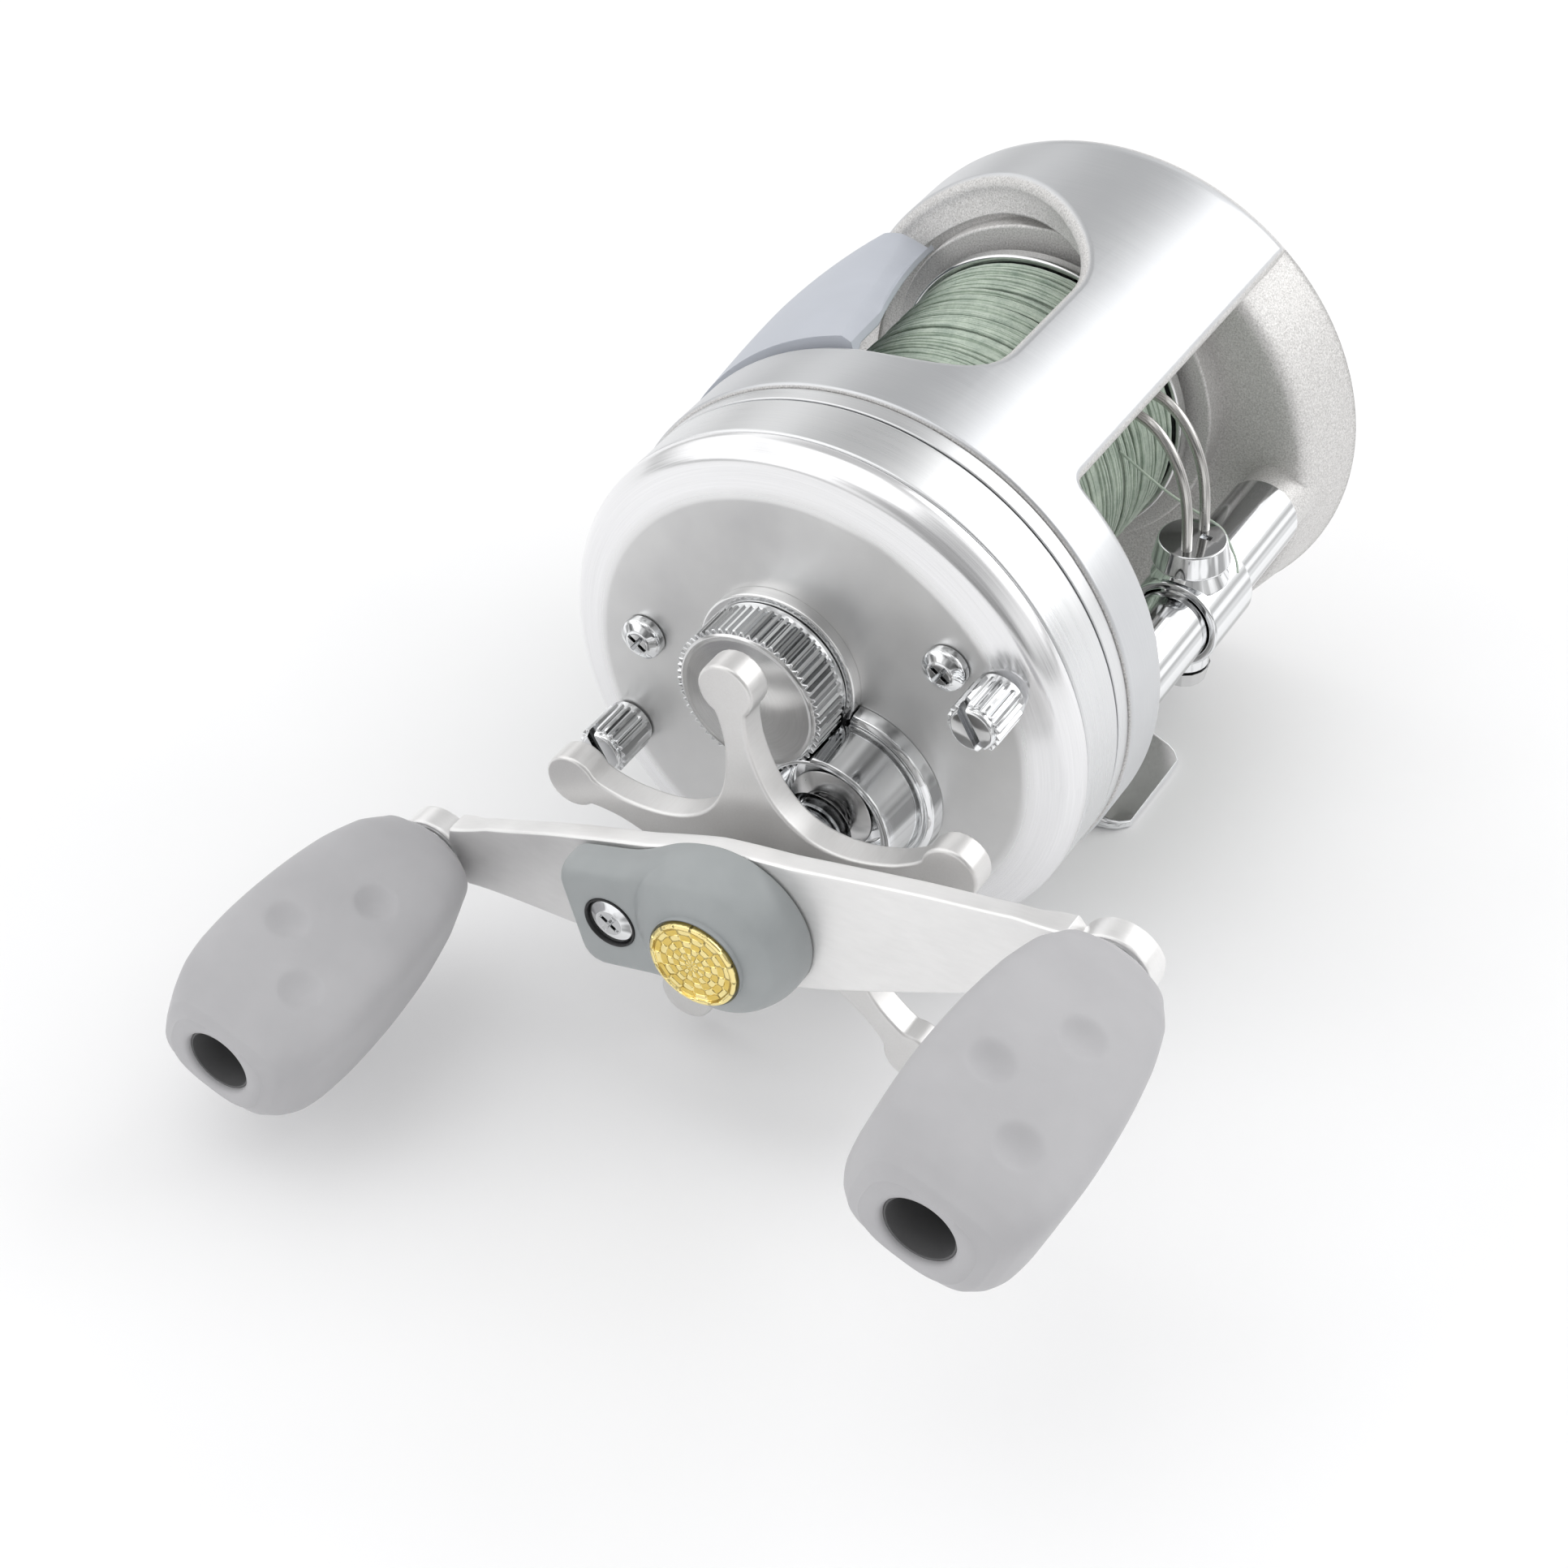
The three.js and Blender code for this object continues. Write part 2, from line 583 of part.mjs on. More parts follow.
function starDrag() {
  const arms = 5;
  const reach = 19;
  const tip = 2.5;
  const neck = 1.15;
  const neckR = 14;
  const pull = 3.6;
  const start = 81;
  const lobe = 0.85 * Math.PI;
  const at = (along, side, a) => [
    along * Math.cos(a) - side * Math.sin(a),
    along * Math.sin(a) + side * Math.cos(a),
  ];
  const shape = new THREE.Shape();
  for (let i = 0; i < arms; i++) {
    const a = THREE.MathUtils.degToRad(start + 360 * i / arms);
    const b = THREE.MathUtils.degToRad(start + 360 * (i + 1) / arms);
    const valley = (a + b) / 2;
    if (i === 0) shape.moveTo(...at(neckR, -neck, a));
    shape.lineTo(...at(reach - 2.9, -neck, a));
    shape.absarc(reach * Math.cos(a), reach * Math.sin(a), tip, a - lobe, a + lobe, false);
    shape.lineTo(...at(reach - 2.9, neck, a));
    shape.lineTo(...at(neckR, neck, a));
    shape.quadraticCurveTo(pull * Math.cos(valley), pull * Math.sin(valley), ...at(neckR, -neck, b));
  }
  const arm = slab(shape, -25.4, -22.8, DRIVE, 0, 1, 6);
  const hub = turned([[-22.9, 0], [-22.9, 6], [-20.5, 5.6], [-17, 5.2], [-17, 0]], DRIVE, 24);
  return cut(fuse(arm, hub), rod(-30, -10, 2.3, DRIVE, 16));
}

function bellevilleWasher(x) {
  return turned([[x, 2.3], [x + 0.7, 3.9], [x + 1.1, 3.9], [x + 0.4, 2.3], [x, 2.3]], DRIVE, 16);
}

// Position on the handle: along the blade and square to it.
function onBlade(along, side) {
  const c = Math.cos(HANDLE_TILT);
  const s = Math.sin(HANDLE_TILT);
  return { y: DRIVE.y - along * c + side * s, z: DRIVE.z + along * s + side * c };
}

// Outline given in (along, side) of the blade, turned into (y, z).
function bladeShape(points) {
  return polygon(points.map(([along, side]) => {
    const p = onBlade(along, side);
    return [p.y - DRIVE.y, p.z - DRIVE.z];
  }));
}

function handleBlade() {
  const endR = 3.4;
  const taper = [[18, 4.9], [29.2, 3]];
  const nose = [];
  const steps = 6;
  for (let i = 0; i <= steps; i++) {
    const a = Math.PI * (0.68 - 1.36 * i / steps);
    nose.push([HANDLE_REACH + endR * Math.cos(a), endR * Math.sin(a)]);
  }
  const lower = taper.map(([along, side]) => [along, -side]).reverse();
  const front = [[0, 6.8], ...taper, ...nose, ...lower];
  const full = [...front, ...front.map(([along, side]) => [-along, -side])];
  const prism = slab(bladeShape(full), BLADE_X - 2, BLADE_X + 6, DRIVE);
  const sweep = 1.4;
  const far = 40;
  const swept = BLADE_X + sweep;
  const step = 2.5;
  const ahead = [[7, BLADE_X], [26, swept], [far, swept]];
  const behind = [[far, swept + step], [29, swept + step], [27, swept + BLADE_T], [7, BLADE_X + BLADE_T]];
  const oneSide = [...ahead, ...behind];
  const side = polygon([...oneSide, ...oneSide.map(([along, x]) => [-along, x]).reverse()]);
  const wide = 10;
  const profile = new THREE.ExtrudeGeometry(side, { depth: 2 * wide, bevelEnabled: false });
  const [c, s] = [Math.cos(HANDLE_TILT), Math.sin(HANDLE_TILT)];
  profile.translate(0, 0, -wide);
  profile.applyMatrix4(new THREE.Matrix4().makeBasis(
    new THREE.Vector3(0, -c, s), new THREE.Vector3(1, 0, 0), new THREE.Vector3(0, s, c)));
  profile.translate(0, DRIVE.y, DRIVE.z);
  return cut(common(prism, tidy(profile)),
    rod(-40, -20, 2, DRIVE, 16),
    rod(-40, -20, 1.4, onBlade(NUT_SCREW_ALONG, 0), 12),
    rod(-40, -20, 2.3, onBlade(HANDLE_REACH, 0), 16),
    rod(-40, -20, 2.3, onBlade(-HANDLE_REACH, 0), 16));
}

function handleNut() {
  const points = [];
  for (let i = 0; i < 6; i++) {
    const p = polar(4.6, 60 * i);
    points.push([p.y, p.z]);
  }
  return cut(slab(polygon(points), -32.8, -30.25, DRIVE), rod(-40, -20, 2, DRIVE, 16));
}

function nutCover() {
  const base = -30.15;
  const dome = turned([[base, 0], [base, 7.4], [-32.8, 7.4], [-34.4, 6.7], [-35.5, 5.4], [-36.1, 4.4],
    [-36.1, 0]], DRIVE, 32);
  const half = [[2, 6.6], [-4, 6.2], [-13, 5.6], [-14.6, 4.6]];
  const mirrored = half.map(([along, side]) => [along, -side]).reverse();
  const flat = slab(bladeShape([...half, [-15.2, 0], ...mirrored]), -33.2, base, DRIVE, 0.5, 1);
  const screw = onBlade(NUT_SCREW_ALONG, 0);
  return cut(fuse(dome, flat),
    rod(-33.6, -20, 5.5, DRIVE, 20),
    rod(-40, -35.4, 4.25, DRIVE, 28),
    rod(-40, -20, 1.4, screw, 12),
    rod(-40, -32.3, 2.5, screw, 20));
}

function medallion() {
  return rod(-36.4, -35.5, 4, DRIVE, 28, 0.12);
}

function knobPost(sign) {
  const p = onBlade(sign * HANDLE_REACH, 0);
  return turned([[-49, 0], [-49, 2], [-48.4, 2.25], [-47.4, 2.25], [-47.4, 1.9], [-28.95, 1.9], [-28.95, 2.9],
    [-28.65, 2.9], [-28.65, 2], [-25.7, 2], [-25.7, 0]], p, 16);
}

// Paddle grip: outline in its flat plane, crossed with a side outline.
function knob(sign) {
  const p = onBlade(sign * HANDLE_REACH, 0);
  const facing = THREE.MathUtils.degToRad(112);
  const widths = [[KNOB_START, 4.1], [-32, 5.5], [-37, 6.7], [-42, 7.3], [-47.5, 7.5], [-52, 7.3],
    [-55.2, 6.6], [KNOB_END, 4.8]];
  const depths = [[KNOB_START, 3.6], [-32, 4.9], [-37, 5.7], [-42, 5.9], [-47.5, 6], [-52, 5.9], [-55.2, 5.2],
    [KNOB_END, 4]];
  const both = (list) => polygon([...list, ...list.slice().reverse().map(([x, w]) => [x, -w])]);
  const make = (list, depth, bevel, m) => {
    const geometry = new THREE.ExtrudeGeometry(both(list), {
      depth: 2 * depth - 2 * bevel,
      bevelThickness: bevel,
      bevelSize: bevel,
      bevelOffset: -bevel,
      bevelSegments: 2,
    });
    geometry.translate(0, 0, bevel - depth);
    geometry.applyMatrix4(m);
    geometry.translate(0, p.y, p.z);
    return tidy(geometry);
  };
  const [c, s] = [Math.cos(facing), Math.sin(facing)];
  const axis = new THREE.Vector3(1, 0, 0);
  const wide = new THREE.Vector3(0, s, -c);
  const face = new THREE.Vector3(0, c, s);
  const flat = make(widths, 6.2, 2.2, new THREE.Matrix4().makeBasis(axis, wide, face));
  const side = make(depths, 7.6, 2.6, new THREE.Matrix4().makeBasis(axis, face, wide.clone().negate()));
  return cut(common(flat, side), rod(KNOB_END - 1, KNOB_START + 1, KNOB_BORE, p, 20));
}

// ---------- spool tension cap ----------
function tensionCap() {
  const knurl = slab(toothed(40, CAP_R - 0.3, CAP_R, V_TOOTH), -15.9, -12.1, SPOOL);
  const root = CAP_R - 0.3;
  const core = turned([[-11.8, 5.6], [-11.8, root], [-15.9, root], [-16.3, root - 0.4], [-16.3, 5.5],
    [-15.9, 5.3], [-15.9, 0], [-14.7, 0], [-14.7, 5.6], [-11.8, 5.6]], SPOOL, 24);
  return cut(fuse(core, knurl), rod(-14.7, -10, 5.6, SPOOL, 24));
}

// ---------- level wind ----------
function guideTube() {
  const tube = ring(0.3, 38.9, 2.6, TUBE_R, WORM, 28);
  return cut(tube, box(8, 36, WORM.y - 0.9, WORM.y + 0.9, WORM.z - 5, WORM.z));
}

class Helix extends THREE.Curve {
  constructor(x0, x1, radius, turns) {
    super();
    Object.assign(this, { x0, x1, radius, turns });
  }

  getPoint(t, target = new THREE.Vector3()) {
    const a = 2 * Math.PI * this.turns * t;
    const x = this.x0 + (this.x1 - this.x0) * t;
    return target.set(x, this.radius * Math.cos(a), this.radius * Math.sin(a));
  }
}

function wormShaft() {
  const core = turned([[-5.6, 0], [-5.6, 1.1], [-0.2, 1.1], [-0.2, 2.2], [37.6, 2.2], [37.6, 1.2],
    [38.7, 1.2], [38.7, 0]], WORM, 16);
  const grooves = [2, -2].map((turns) => {
    const section = polygon([[-0.4, -0.5], [0.4, -0.5], [0.4, 0.5], [-0.4, 0.5]]);
    const path = new Helix(9, 35, 2.25, turns);
    const geometry = new THREE.ExtrudeGeometry(section, { steps: 10, extrudePath: path });
    geometry.translate(0, WORM.y, WORM.z);
    return tidy(geometry);
  });
  return cut(core, ...grooves);
}

function carriage() {
  const sleeve = ring(GUIDE_X - 3.3, GUIDE_X + 4.3, TUBE_R + GAP, 4.2, WORM, 28);
  const boss = upright(GUIDE_X, WORM.y, WORM.z + 3.2, WORM.z + 4.9, 3.3, 20, 2.6);
  const lower = upright(GUIDE_X, WORM.y, WORM.z - 6, WORM.z - 3.4, 2.3, 16);
  return cut(fuse(sleeve, boss, lower),
    rod(GUIDE_X - 5, GUIDE_X + 6, TUBE_R + GAP, WORM, 28),
    upright(GUIDE_X, WORM.y, WORM.z - 8, WORM.z - 2, 1.5));
}

function guideCap() {
  const z = WORM.z + 5;
  const cap = upright(GUIDE_X, WORM.y, z, z + 2.2, 3.5, 24, 3);
  const xs = [GUIDE_X - WIRE_GAP / 2, GUIDE_X + WIRE_GAP / 2];
  return cut(cap, ...xs.map((x) => upright(x, WORM.y - 0.3, z + 0.9, z + 4, 0.65, 10)));
}

function lineGuide() {
  const r = 0.5;
  const z = WORM.z + 6.1;
  const half = WIRE_GAP / 2;
  const rise = [[WORM.y - 0.3, z], [WORM.y - 0.5, z + 2.5], [WORM.y - 0.8, z + 5.6], [WORM.y + 0.1, z + 8.8],
    [WORM.y + 2.2, z + 11], [WORM.y + 4.6, z + 11.6]];
  const points = rise.map(([y, zz]) => new THREE.Vector3(GUIDE_X - half, y, zz));
  points.push(new THREE.Vector3(GUIDE_X, WORM.y + 5.6, z + 11.5));
  points.push(...rise.slice().reverse().map(([y, zz]) => new THREE.Vector3(GUIDE_X + half, y, zz)));
  const section = new THREE.Shape();
  section.absarc(0, 0, r, 0, 2 * Math.PI, false);
  const path = new THREE.CatmullRomCurve3(points, false, 'centripetal');
  return tidy(new THREE.ExtrudeGeometry(section, { steps: 34, curveSegments: 3, extrudePath: path }));
}

function pawl() {
  return fuse(upright(GUIDE_X, WORM.y, WORM.z - 5.2, WORM.z - 3.55, 1.2, 12),
    box(GUIDE_X - 0.25, GUIDE_X + 0.25, WORM.y - 0.6, WORM.y + 0.6, WORM.z - 3.8, WORM.z - 2.45));
}

function pawlNut() {
  return upright(GUIDE_X, WORM.y, WORM.z - 7.6, WORM.z - 6.15, 2.1, 16, 2.4);
}

// ---------- thumb bar ----------
function thumbBar() {
  const band = ring(BAR_X0, BAR_X1, BAR_INNER, BAR_OUTER, BODY, 72, 0.6);
  const frontNear = 76.5;
  const frontFar = 47;
  const reach = 40;
  const outline = [];
  for (const degrees of [12, 30, 48]) {
    const p = polar(reach, degrees);
    outline.push([p.y, p.z]);
  }
  const nearEdge = polar(reach, frontNear + 4);
  const wedge = slab(polygon([[0, 0], ...outline, [nearEdge.y, nearEdge.z]]), BAR_X0 - 1, BAR_X1 + 1, BODY);
  const bar = common(band, wedge);
  const slant = new THREE.BoxGeometry(80, 60, 40);
  const near = polar(BAR_OUTER, frontNear);
  const far = polar(BAR_OUTER, frontFar);
  const lean = Math.atan2(near.y - far.y, BAR_X1 - BAR_X0);
  const drop = Math.atan2(near.z - far.z, BAR_X1 - BAR_X0);
  slant.translate(0, -30, 0);
  slant.rotateX(THREE.MathUtils.degToRad(-32));
  slant.rotateZ(-lean);
  slant.rotateY(drop);
  slant.translate((BAR_X0 + BAR_X1) / 2, (near.y + far.y) / 2, (near.z + far.z) / 2);
  return cut(bar, tidy(slant));
}

function clutchLink() {
  const p = { y: 9.1, z: 15 };
  const outline = polygon([[p.y - 1.4, p.z - 1.2], [p.y + 1.4, p.z - 1.2], [15.2, 16.8], [13.1, 18.6]]);
  const arm = slab(outline, 7.25, 8, BODY);
  const finger = box(-3.5, 7.6, p.y - 1.2, p.y + 1.2, p.z - 1, p.z + 0.8);
  return fuse(arm, finger);
}

// ---------- assembly ----------
const reel = new THREE.Group();

function add(name, finish, geometry) {
  const flat = geometry.toNonIndexed();
  flat.computeVertexNormals();
  flat.translate(-ORIGIN.x, -ORIGIN.y, -ORIGIN.z);
  const mesh = new THREE.Mesh(flat, material(finish));
  mesh.name = name;
  reel.add(mesh);
}

add('frame', 'aluminium', frame());
add('foot', 'chrome', foot());
add('foot_screw_front', 'steel', footScrew(-6));
add('foot_screw_rear', 'steel', footScrew(6));
add('side_cover', 'satin', sideCover());
add('gear_ring', 'aluminium', gearRing());
add('gear_plate', 'aluminium', gearPlate());
add('cover_screw_front', 'chrome', crossScrew(CROSS_SCREWS[0], -12, 2, 1.35, 0.9, -2.7));
add('cover_screw_rear', 'chrome', crossScrew(CROSS_SCREWS[1], -12, 2, 1.35, 0.9, -2.7));
add('thumb_screw_front', 'chrome', thumbScrew(0));
add('thumb_screw_rear', 'chrome', thumbScrew(180));
add('tension_cap', 'chrome', tensionCap());
add('tension_shim', 'brass', rod(-14.5, -14.1, 3.6, SPOOL));
add('bearing_handle_side', 'steel', ring(-12.6, -10.4, 1.3, 3.9, SPOOL, 20));
add('bearing_palm_side', 'steel', ring(38.6, 41, 1.8, 4.1, SPOOL, 20));
add('brake_ring', 'brass', ring(37.5, 39.7, 9.7, 10.7, SPOOL));
add('spool', 'chrome', spool());
add('spool_shaft', 'steel', spoolShaft());
add('line_pack', 'line', linePack());
add('brake_hub', 'black', brakeHub());
add('brake_block_upper', 'black', brakeBlock(90));
add('brake_block_lower', 'black', brakeBlock(270));
add('pinion_gear', 'brass', pinion());
add('clutch_yoke', 'steel', clutchYoke());
add('main_gear', 'brass', mainGear());
add('drag_washer', 'fibre', ring(-7.9, -7.45, 3.7, 8, DRIVE, 28));
add('pressure_plate', 'steel', ring(-8.8, -8.1, 3.7, 7.9, DRIVE, 28));
add('ratchet_wheel', 'steel', ratchet());
add('drive_cog', 'brass', cog(DRIVE_COG_TEETH, DRIVE, 0, 2.6));
add('idler_cog', 'black', cog(IDLER_TEETH, IDLER, IDLER_PHASE, 1.2));
add('worm_cog', 'black', cog(WORM_COG_TEETH, WORM, WORM_PHASE, 1.35));
add('drive_shaft', 'steel', driveShaft());
add('shaft_collar', 'chrome', shaftCollar());
add('spring_cup', 'chrome', springCup());
add('star_drag', 'satin', starDrag());
add('drag_spring_washer', 'steel', bellevilleWasher(-15.6));
add('handle_blade', 'satin', handleBlade());
add('handle_nut', 'chrome', handleNut());
add('nut_cover', 'coverplastic', nutCover());
add('nut_cover_screw', 'chrome', crossScrew(onBlade(NUT_SCREW_ALONG, 0), -33.3, 2.2, 0.8, 1.05, -28.4));
add('medallion', 'gold', medallion());
add('knob_post_front', 'chrome', knobPost(1));
add('knob_post_rear', 'chrome', knobPost(-1));
add('knob_front', 'rubber', knob(1));
add('knob_rear', 'rubber', knob(-1));
add('level_wind_tube', 'chrome', guideTube());
add('worm_shaft', 'steel', wormShaft());
add('carriage', 'chrome', carriage());
add('guide_cap', 'chrome', guideCap());
add('line_guide', 'steel', lineGuide());
add('pawl', 'brass', pawl());
add('pawl_nut', 'steel', pawlNut());
add('thumb_bar', 'bluegrey', thumbBar());
add('clutch_link', 'steel', clutchLink());

export default reel;
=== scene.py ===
"""Looks for the baitcasting reel: smooth meshes, procedural materials, studio light and camera.

Shapes are drawn in millimetres. x is measured from the handle end of the one-piece frame
and grows away from the handle; y and z are those of the row frame.
"""

import json
import math
import random

import bmesh
import bpy
from mathutils import Matrix, Vector

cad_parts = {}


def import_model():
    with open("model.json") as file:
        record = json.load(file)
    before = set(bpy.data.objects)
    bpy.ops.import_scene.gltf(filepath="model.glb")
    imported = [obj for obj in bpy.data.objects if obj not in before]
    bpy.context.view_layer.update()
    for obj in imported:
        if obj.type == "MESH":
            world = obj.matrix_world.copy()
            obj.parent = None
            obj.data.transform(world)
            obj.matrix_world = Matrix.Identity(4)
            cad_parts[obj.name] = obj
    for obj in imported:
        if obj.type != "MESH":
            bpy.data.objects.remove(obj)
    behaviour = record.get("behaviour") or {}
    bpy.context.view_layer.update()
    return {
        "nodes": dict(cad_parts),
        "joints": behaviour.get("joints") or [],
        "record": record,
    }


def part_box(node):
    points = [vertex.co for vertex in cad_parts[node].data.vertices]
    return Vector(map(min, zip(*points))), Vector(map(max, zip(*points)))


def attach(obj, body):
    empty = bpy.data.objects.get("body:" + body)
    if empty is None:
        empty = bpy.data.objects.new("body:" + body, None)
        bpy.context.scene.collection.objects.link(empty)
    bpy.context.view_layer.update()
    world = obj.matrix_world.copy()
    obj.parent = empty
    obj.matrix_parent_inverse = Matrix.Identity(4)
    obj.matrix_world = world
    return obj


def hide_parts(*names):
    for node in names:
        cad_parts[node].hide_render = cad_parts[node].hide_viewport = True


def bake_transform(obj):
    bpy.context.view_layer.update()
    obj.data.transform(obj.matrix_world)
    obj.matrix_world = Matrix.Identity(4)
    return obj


MM = 0.001
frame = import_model()


# ---------- places taken from the frame ----------
def corners(node):
    low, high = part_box(node)
    return low / MM, high / MM


def axis_of(joint):
    place = next(j for j in frame["joints"] if j["name"] == joint)["pos_m"]
    return (place[1] / MM, place[2] / MM)


def middle_of(node):
    low, high = corners(node)
    return ((low.y + high.y) / 2, (low.z + high.z) / 2)


def x_span(node):
    low, high = corners(node)
    return low.x - START, high.x - START


START = corners("frame")[0].x
BODY = middle_of("gear_plate")
SPOOL = axis_of("spool_turn")
DRIVE = axis_of("handle_turn")
WORM = axis_of("worm_turn")
FRONT_POST = axis_of("front_knob_turn")
REAR_POST = axis_of("rear_knob_turn")
THUMB_SCREWS = {"front": axis_of("front_thumb_screw_turn"), "rear": axis_of("rear_thumb_screw_turn")}
COVER_SCREWS = {"front": middle_of("cover_screw_front"), "rear": middle_of("cover_screw_rear")}
NUT_SCREW = middle_of("nut_cover_screw")
GUIDE_X = sum(x_span("line_guide")) / 2
FOOT_X = sum(x_span("foot")) / 2
FRAME_LENGTH = x_span("frame")[1]
COVER_FACE = -10.5
BODY_R = 25.0
COVER_R = BODY_R - 0.4
BAR_PRESS = 2.5
NEAR_WALL = 6.0
FAR_WALL = 37.2
GUARD_END = 36.1
DISH_X = 39.8
LIP = 1.1
SPOOL_R = 14.6
CAP_R = 6.9
KNOB_START = -29.05
KNOB_BORE = 2.95
KNOB_FACING = math.radians(112)
HANDLE_REACH = math.dist(FRONT_POST, REAR_POST) / 2
HANDLE_TILT = math.atan2(FRONT_POST[1] - DRIVE[1], DRIVE[0] - FRONT_POST[0])

# Inner side of the far wall as (x, radius): dish, soft crease, then a flare out to the skin.
FLARE = [(DISH_X + step, radius) for step, radius in (
    (0, 14.2), (-0.3, 17.0), (-0.7, 20.0), (-0.95, 21.6), (-1.0, 22.3), (-0.85, 22.8), (-0.4, 23.15),
    (0.4, 23.4), (1.8, 23.65), (3.6, 23.95), (5.4, 24.25), (6.9, 24.5), (7.6, 25.6))]


# ---------- mesh tools ----------
def new_piece(name, points, faces, sharp=38):
    mesh = bpy.data.meshes.new(name)
    mesh.from_pydata([((x + START) * MM, y * MM, z * MM) for x, y, z in points], [], faces)
    piece = bpy.data.objects.new(name, mesh)
    bpy.context.scene.collection.objects.link(piece)
    clean(piece, 0.0)
    shade(piece, sharp)
    return piece


def clean(piece, merge):
    work = bmesh.new()
    work.from_mesh(piece.data)
    if merge > 0:
        bmesh.ops.remove_doubles(work, verts=work.verts, dist=merge * MM)
        bmesh.ops.dissolve_degenerate(work, edges=work.edges, dist=0.2 * merge * MM)
    bmesh.ops.recalc_face_normals(work, faces=work.faces)
    work.to_mesh(piece.data)
    work.free()


def shade(piece, sharp):
    piece.data.shade_smooth()
    piece.data.set_sharp_from_angle(angle=math.radians(sharp))


def weigh_normals(piece):
    weighted = piece.modifiers.new("even shading", "WEIGHTED_NORMAL")
    weighted.keep_sharp = True
    weighted.weight = 80


def soften(piece, width, segments=2, angle=35):
    bevel = piece.modifiers.new("broken edges", "BEVEL")
    bevel.width = width * MM
    bevel.segments = segments
    bevel.limit_method = "ANGLE"
    bevel.angle_limit = math.radians(angle)
    bevel.miter_outer = "MITER_ARC"


def settle(piece):
    """Turns the modifiers into the piece's own mesh."""
    bpy.context.view_layer.update()
    done = piece.evaluated_get(bpy.context.evaluated_depsgraph_get())
    mesh = bpy.data.meshes.new_from_object(done)
    piece.modifiers.clear()
    piece.data = mesh


def combine(piece, tools, operation="DIFFERENCE", merge=0.04, sharp=38):
    for tool in tools:
        step = piece.modifiers.new("cut", "BOOLEAN")
        step.operation = operation
        step.solver = "EXACT"
        step.object = tool
    settle(piece)
    for tool in tools:
        bpy.data.objects.remove(tool)
    clean(piece, merge)
    shade(piece, sharp)
    return piece


def rounded(points, radius, closed=False, steps=5):
    """Outline with its corners rounded; a third number on a point is its own radius."""
    out = []
    count = len(points)
    for i, point in enumerate(points):
        here = Vector(point[:2])
        size = point[2] if len(point) > 2 else radius
        if size == 0 or (not closed and i in (0, count - 1)):
            out.append(tuple(here))
            continue
        back = Vector(points[i - 1][:2]) - here
        ahead = Vector(points[(i + 1) % count][:2]) - here
        if back.length < 1e-6 or ahead.length < 1e-6:
            out.append(tuple(here))
            continue
        angle = back.angle(ahead)
        if angle > math.radians(176):
            out.append(tuple(here))
            continue
        reach = min(size / math.tan(angle / 2), 0.48 * back.length, 0.48 * ahead.length)
        first = here + back.normalized() * reach
        last = here + ahead.normalized() * reach
        for k in range(steps + 1):
            t = k / steps
            out.append(tuple(first * (1 - t) ** 2 + here * (2 * t * (1 - t)) + last * t * t))
    return out


def curve_points(p0, p1, p2, p3, steps):
    out = []
    for k in range(steps + 1):
        t = k / steps
        s = 1 - t
        out.append(tuple(s ** 3 * a + 3 * s * s * t * b + 3 * s * t * t * c + t ** 3 * d
                         for a, b, c, d in zip(p0, p1, p2, p3)))
    return out


def lathe(name, profile, centre, segments, soft=None, steps=5, axis="X"):
    """Turns [along, radius] points about the X direction, or about a vertical line at (x, y).

    A profile that starts off the axis makes a ring. With soft, the profile's corners are rounded.
    """
    is_ring = profile[0][1] > 1e-6
    if soft is not None:
        profile = rounded(profile, soft, closed=is_ring, steps=steps)
    points, faces, rings = [], [], []
    for along, radius in profile:
        if radius < 1e-6:
            rings.append([len(points)] * segments)
            points.append(on_axis(along, 0.0, 0.0, centre, axis))
            continue
        rings.append(list(range(len(points), len(points) + segments)))
        for k in range(segments):
            points.append(on_axis(along, radius, math.radians(360.0 * k / segments), centre, axis))
    pairs = list(zip(rings, rings[1:]))
    if is_ring:
        pairs.append((rings[-1], rings[0]))
    for low, high in pairs:
        for k in range(segments):
            j = (k + 1) % segments
            face = [low[k], low[j], high[j], high[k]]
            face = [v for i, v in enumerate(face) if v not in face[:i]]
            if len(face) > 2:
                faces.append(face)
    return new_piece(name, points, faces)


def on_axis(along, radius, angle, centre, axis):
    if axis == "X":
        return (along, centre[0] + radius * math.cos(angle), centre[1] + radius * math.sin(angle))
    return (centre[0] + radius * math.cos(angle), centre[1] + radius * math.sin(angle), along)


def loft(name, rings, sharp=38, tips=None):
    """Skin over rings of points, closed at both ends by a face, or by a fan to a tip point."""
    count = len(rings[0])
    points = [tuple(point) for ring in rings for point in ring]
    faces = []
    for i in range(len(rings) - 1):
        for k in range(count):
            j = (k + 1) % count
            faces.append([i * count + k, i * count + j, (i + 1) * count + j, (i + 1) * count + k])
    for end, base in enumerate((0, (len(rings) - 1) * count)):
        if tips and tips[end]:
            points.append(tips[end])
            faces += [[base + k, base + (k + 1) % count, len(points) - 1] for k in range(count)]
        else:
            faces.append(list(range(base, base + count)))
    return new_piece(name, points, faces, sharp)


def inset(outline, distance):
    """The outline moved inwards, whichever way round it runs."""
    count = len(outline)
    area = sum(a[0] * b[1] - b[0] * a[1] for a, b in zip([outline[-1]] + outline, outline))
    inwards = distance if area > 0 else -distance
    out = []
    for i, point in enumerate(outline):
        here = Vector(point)
        before = (here - Vector(outline[i - 1])).normalized()
        after = (Vector(outline[(i + 1) % count]) - here).normalized()
        side = Vector((-before.y, before.x))
        middle = side + Vector((-after.y, after.x))
        middle.normalize()
        out.append(tuple(here + middle * inwards / max(0.45, middle.dot(side))))
    return out


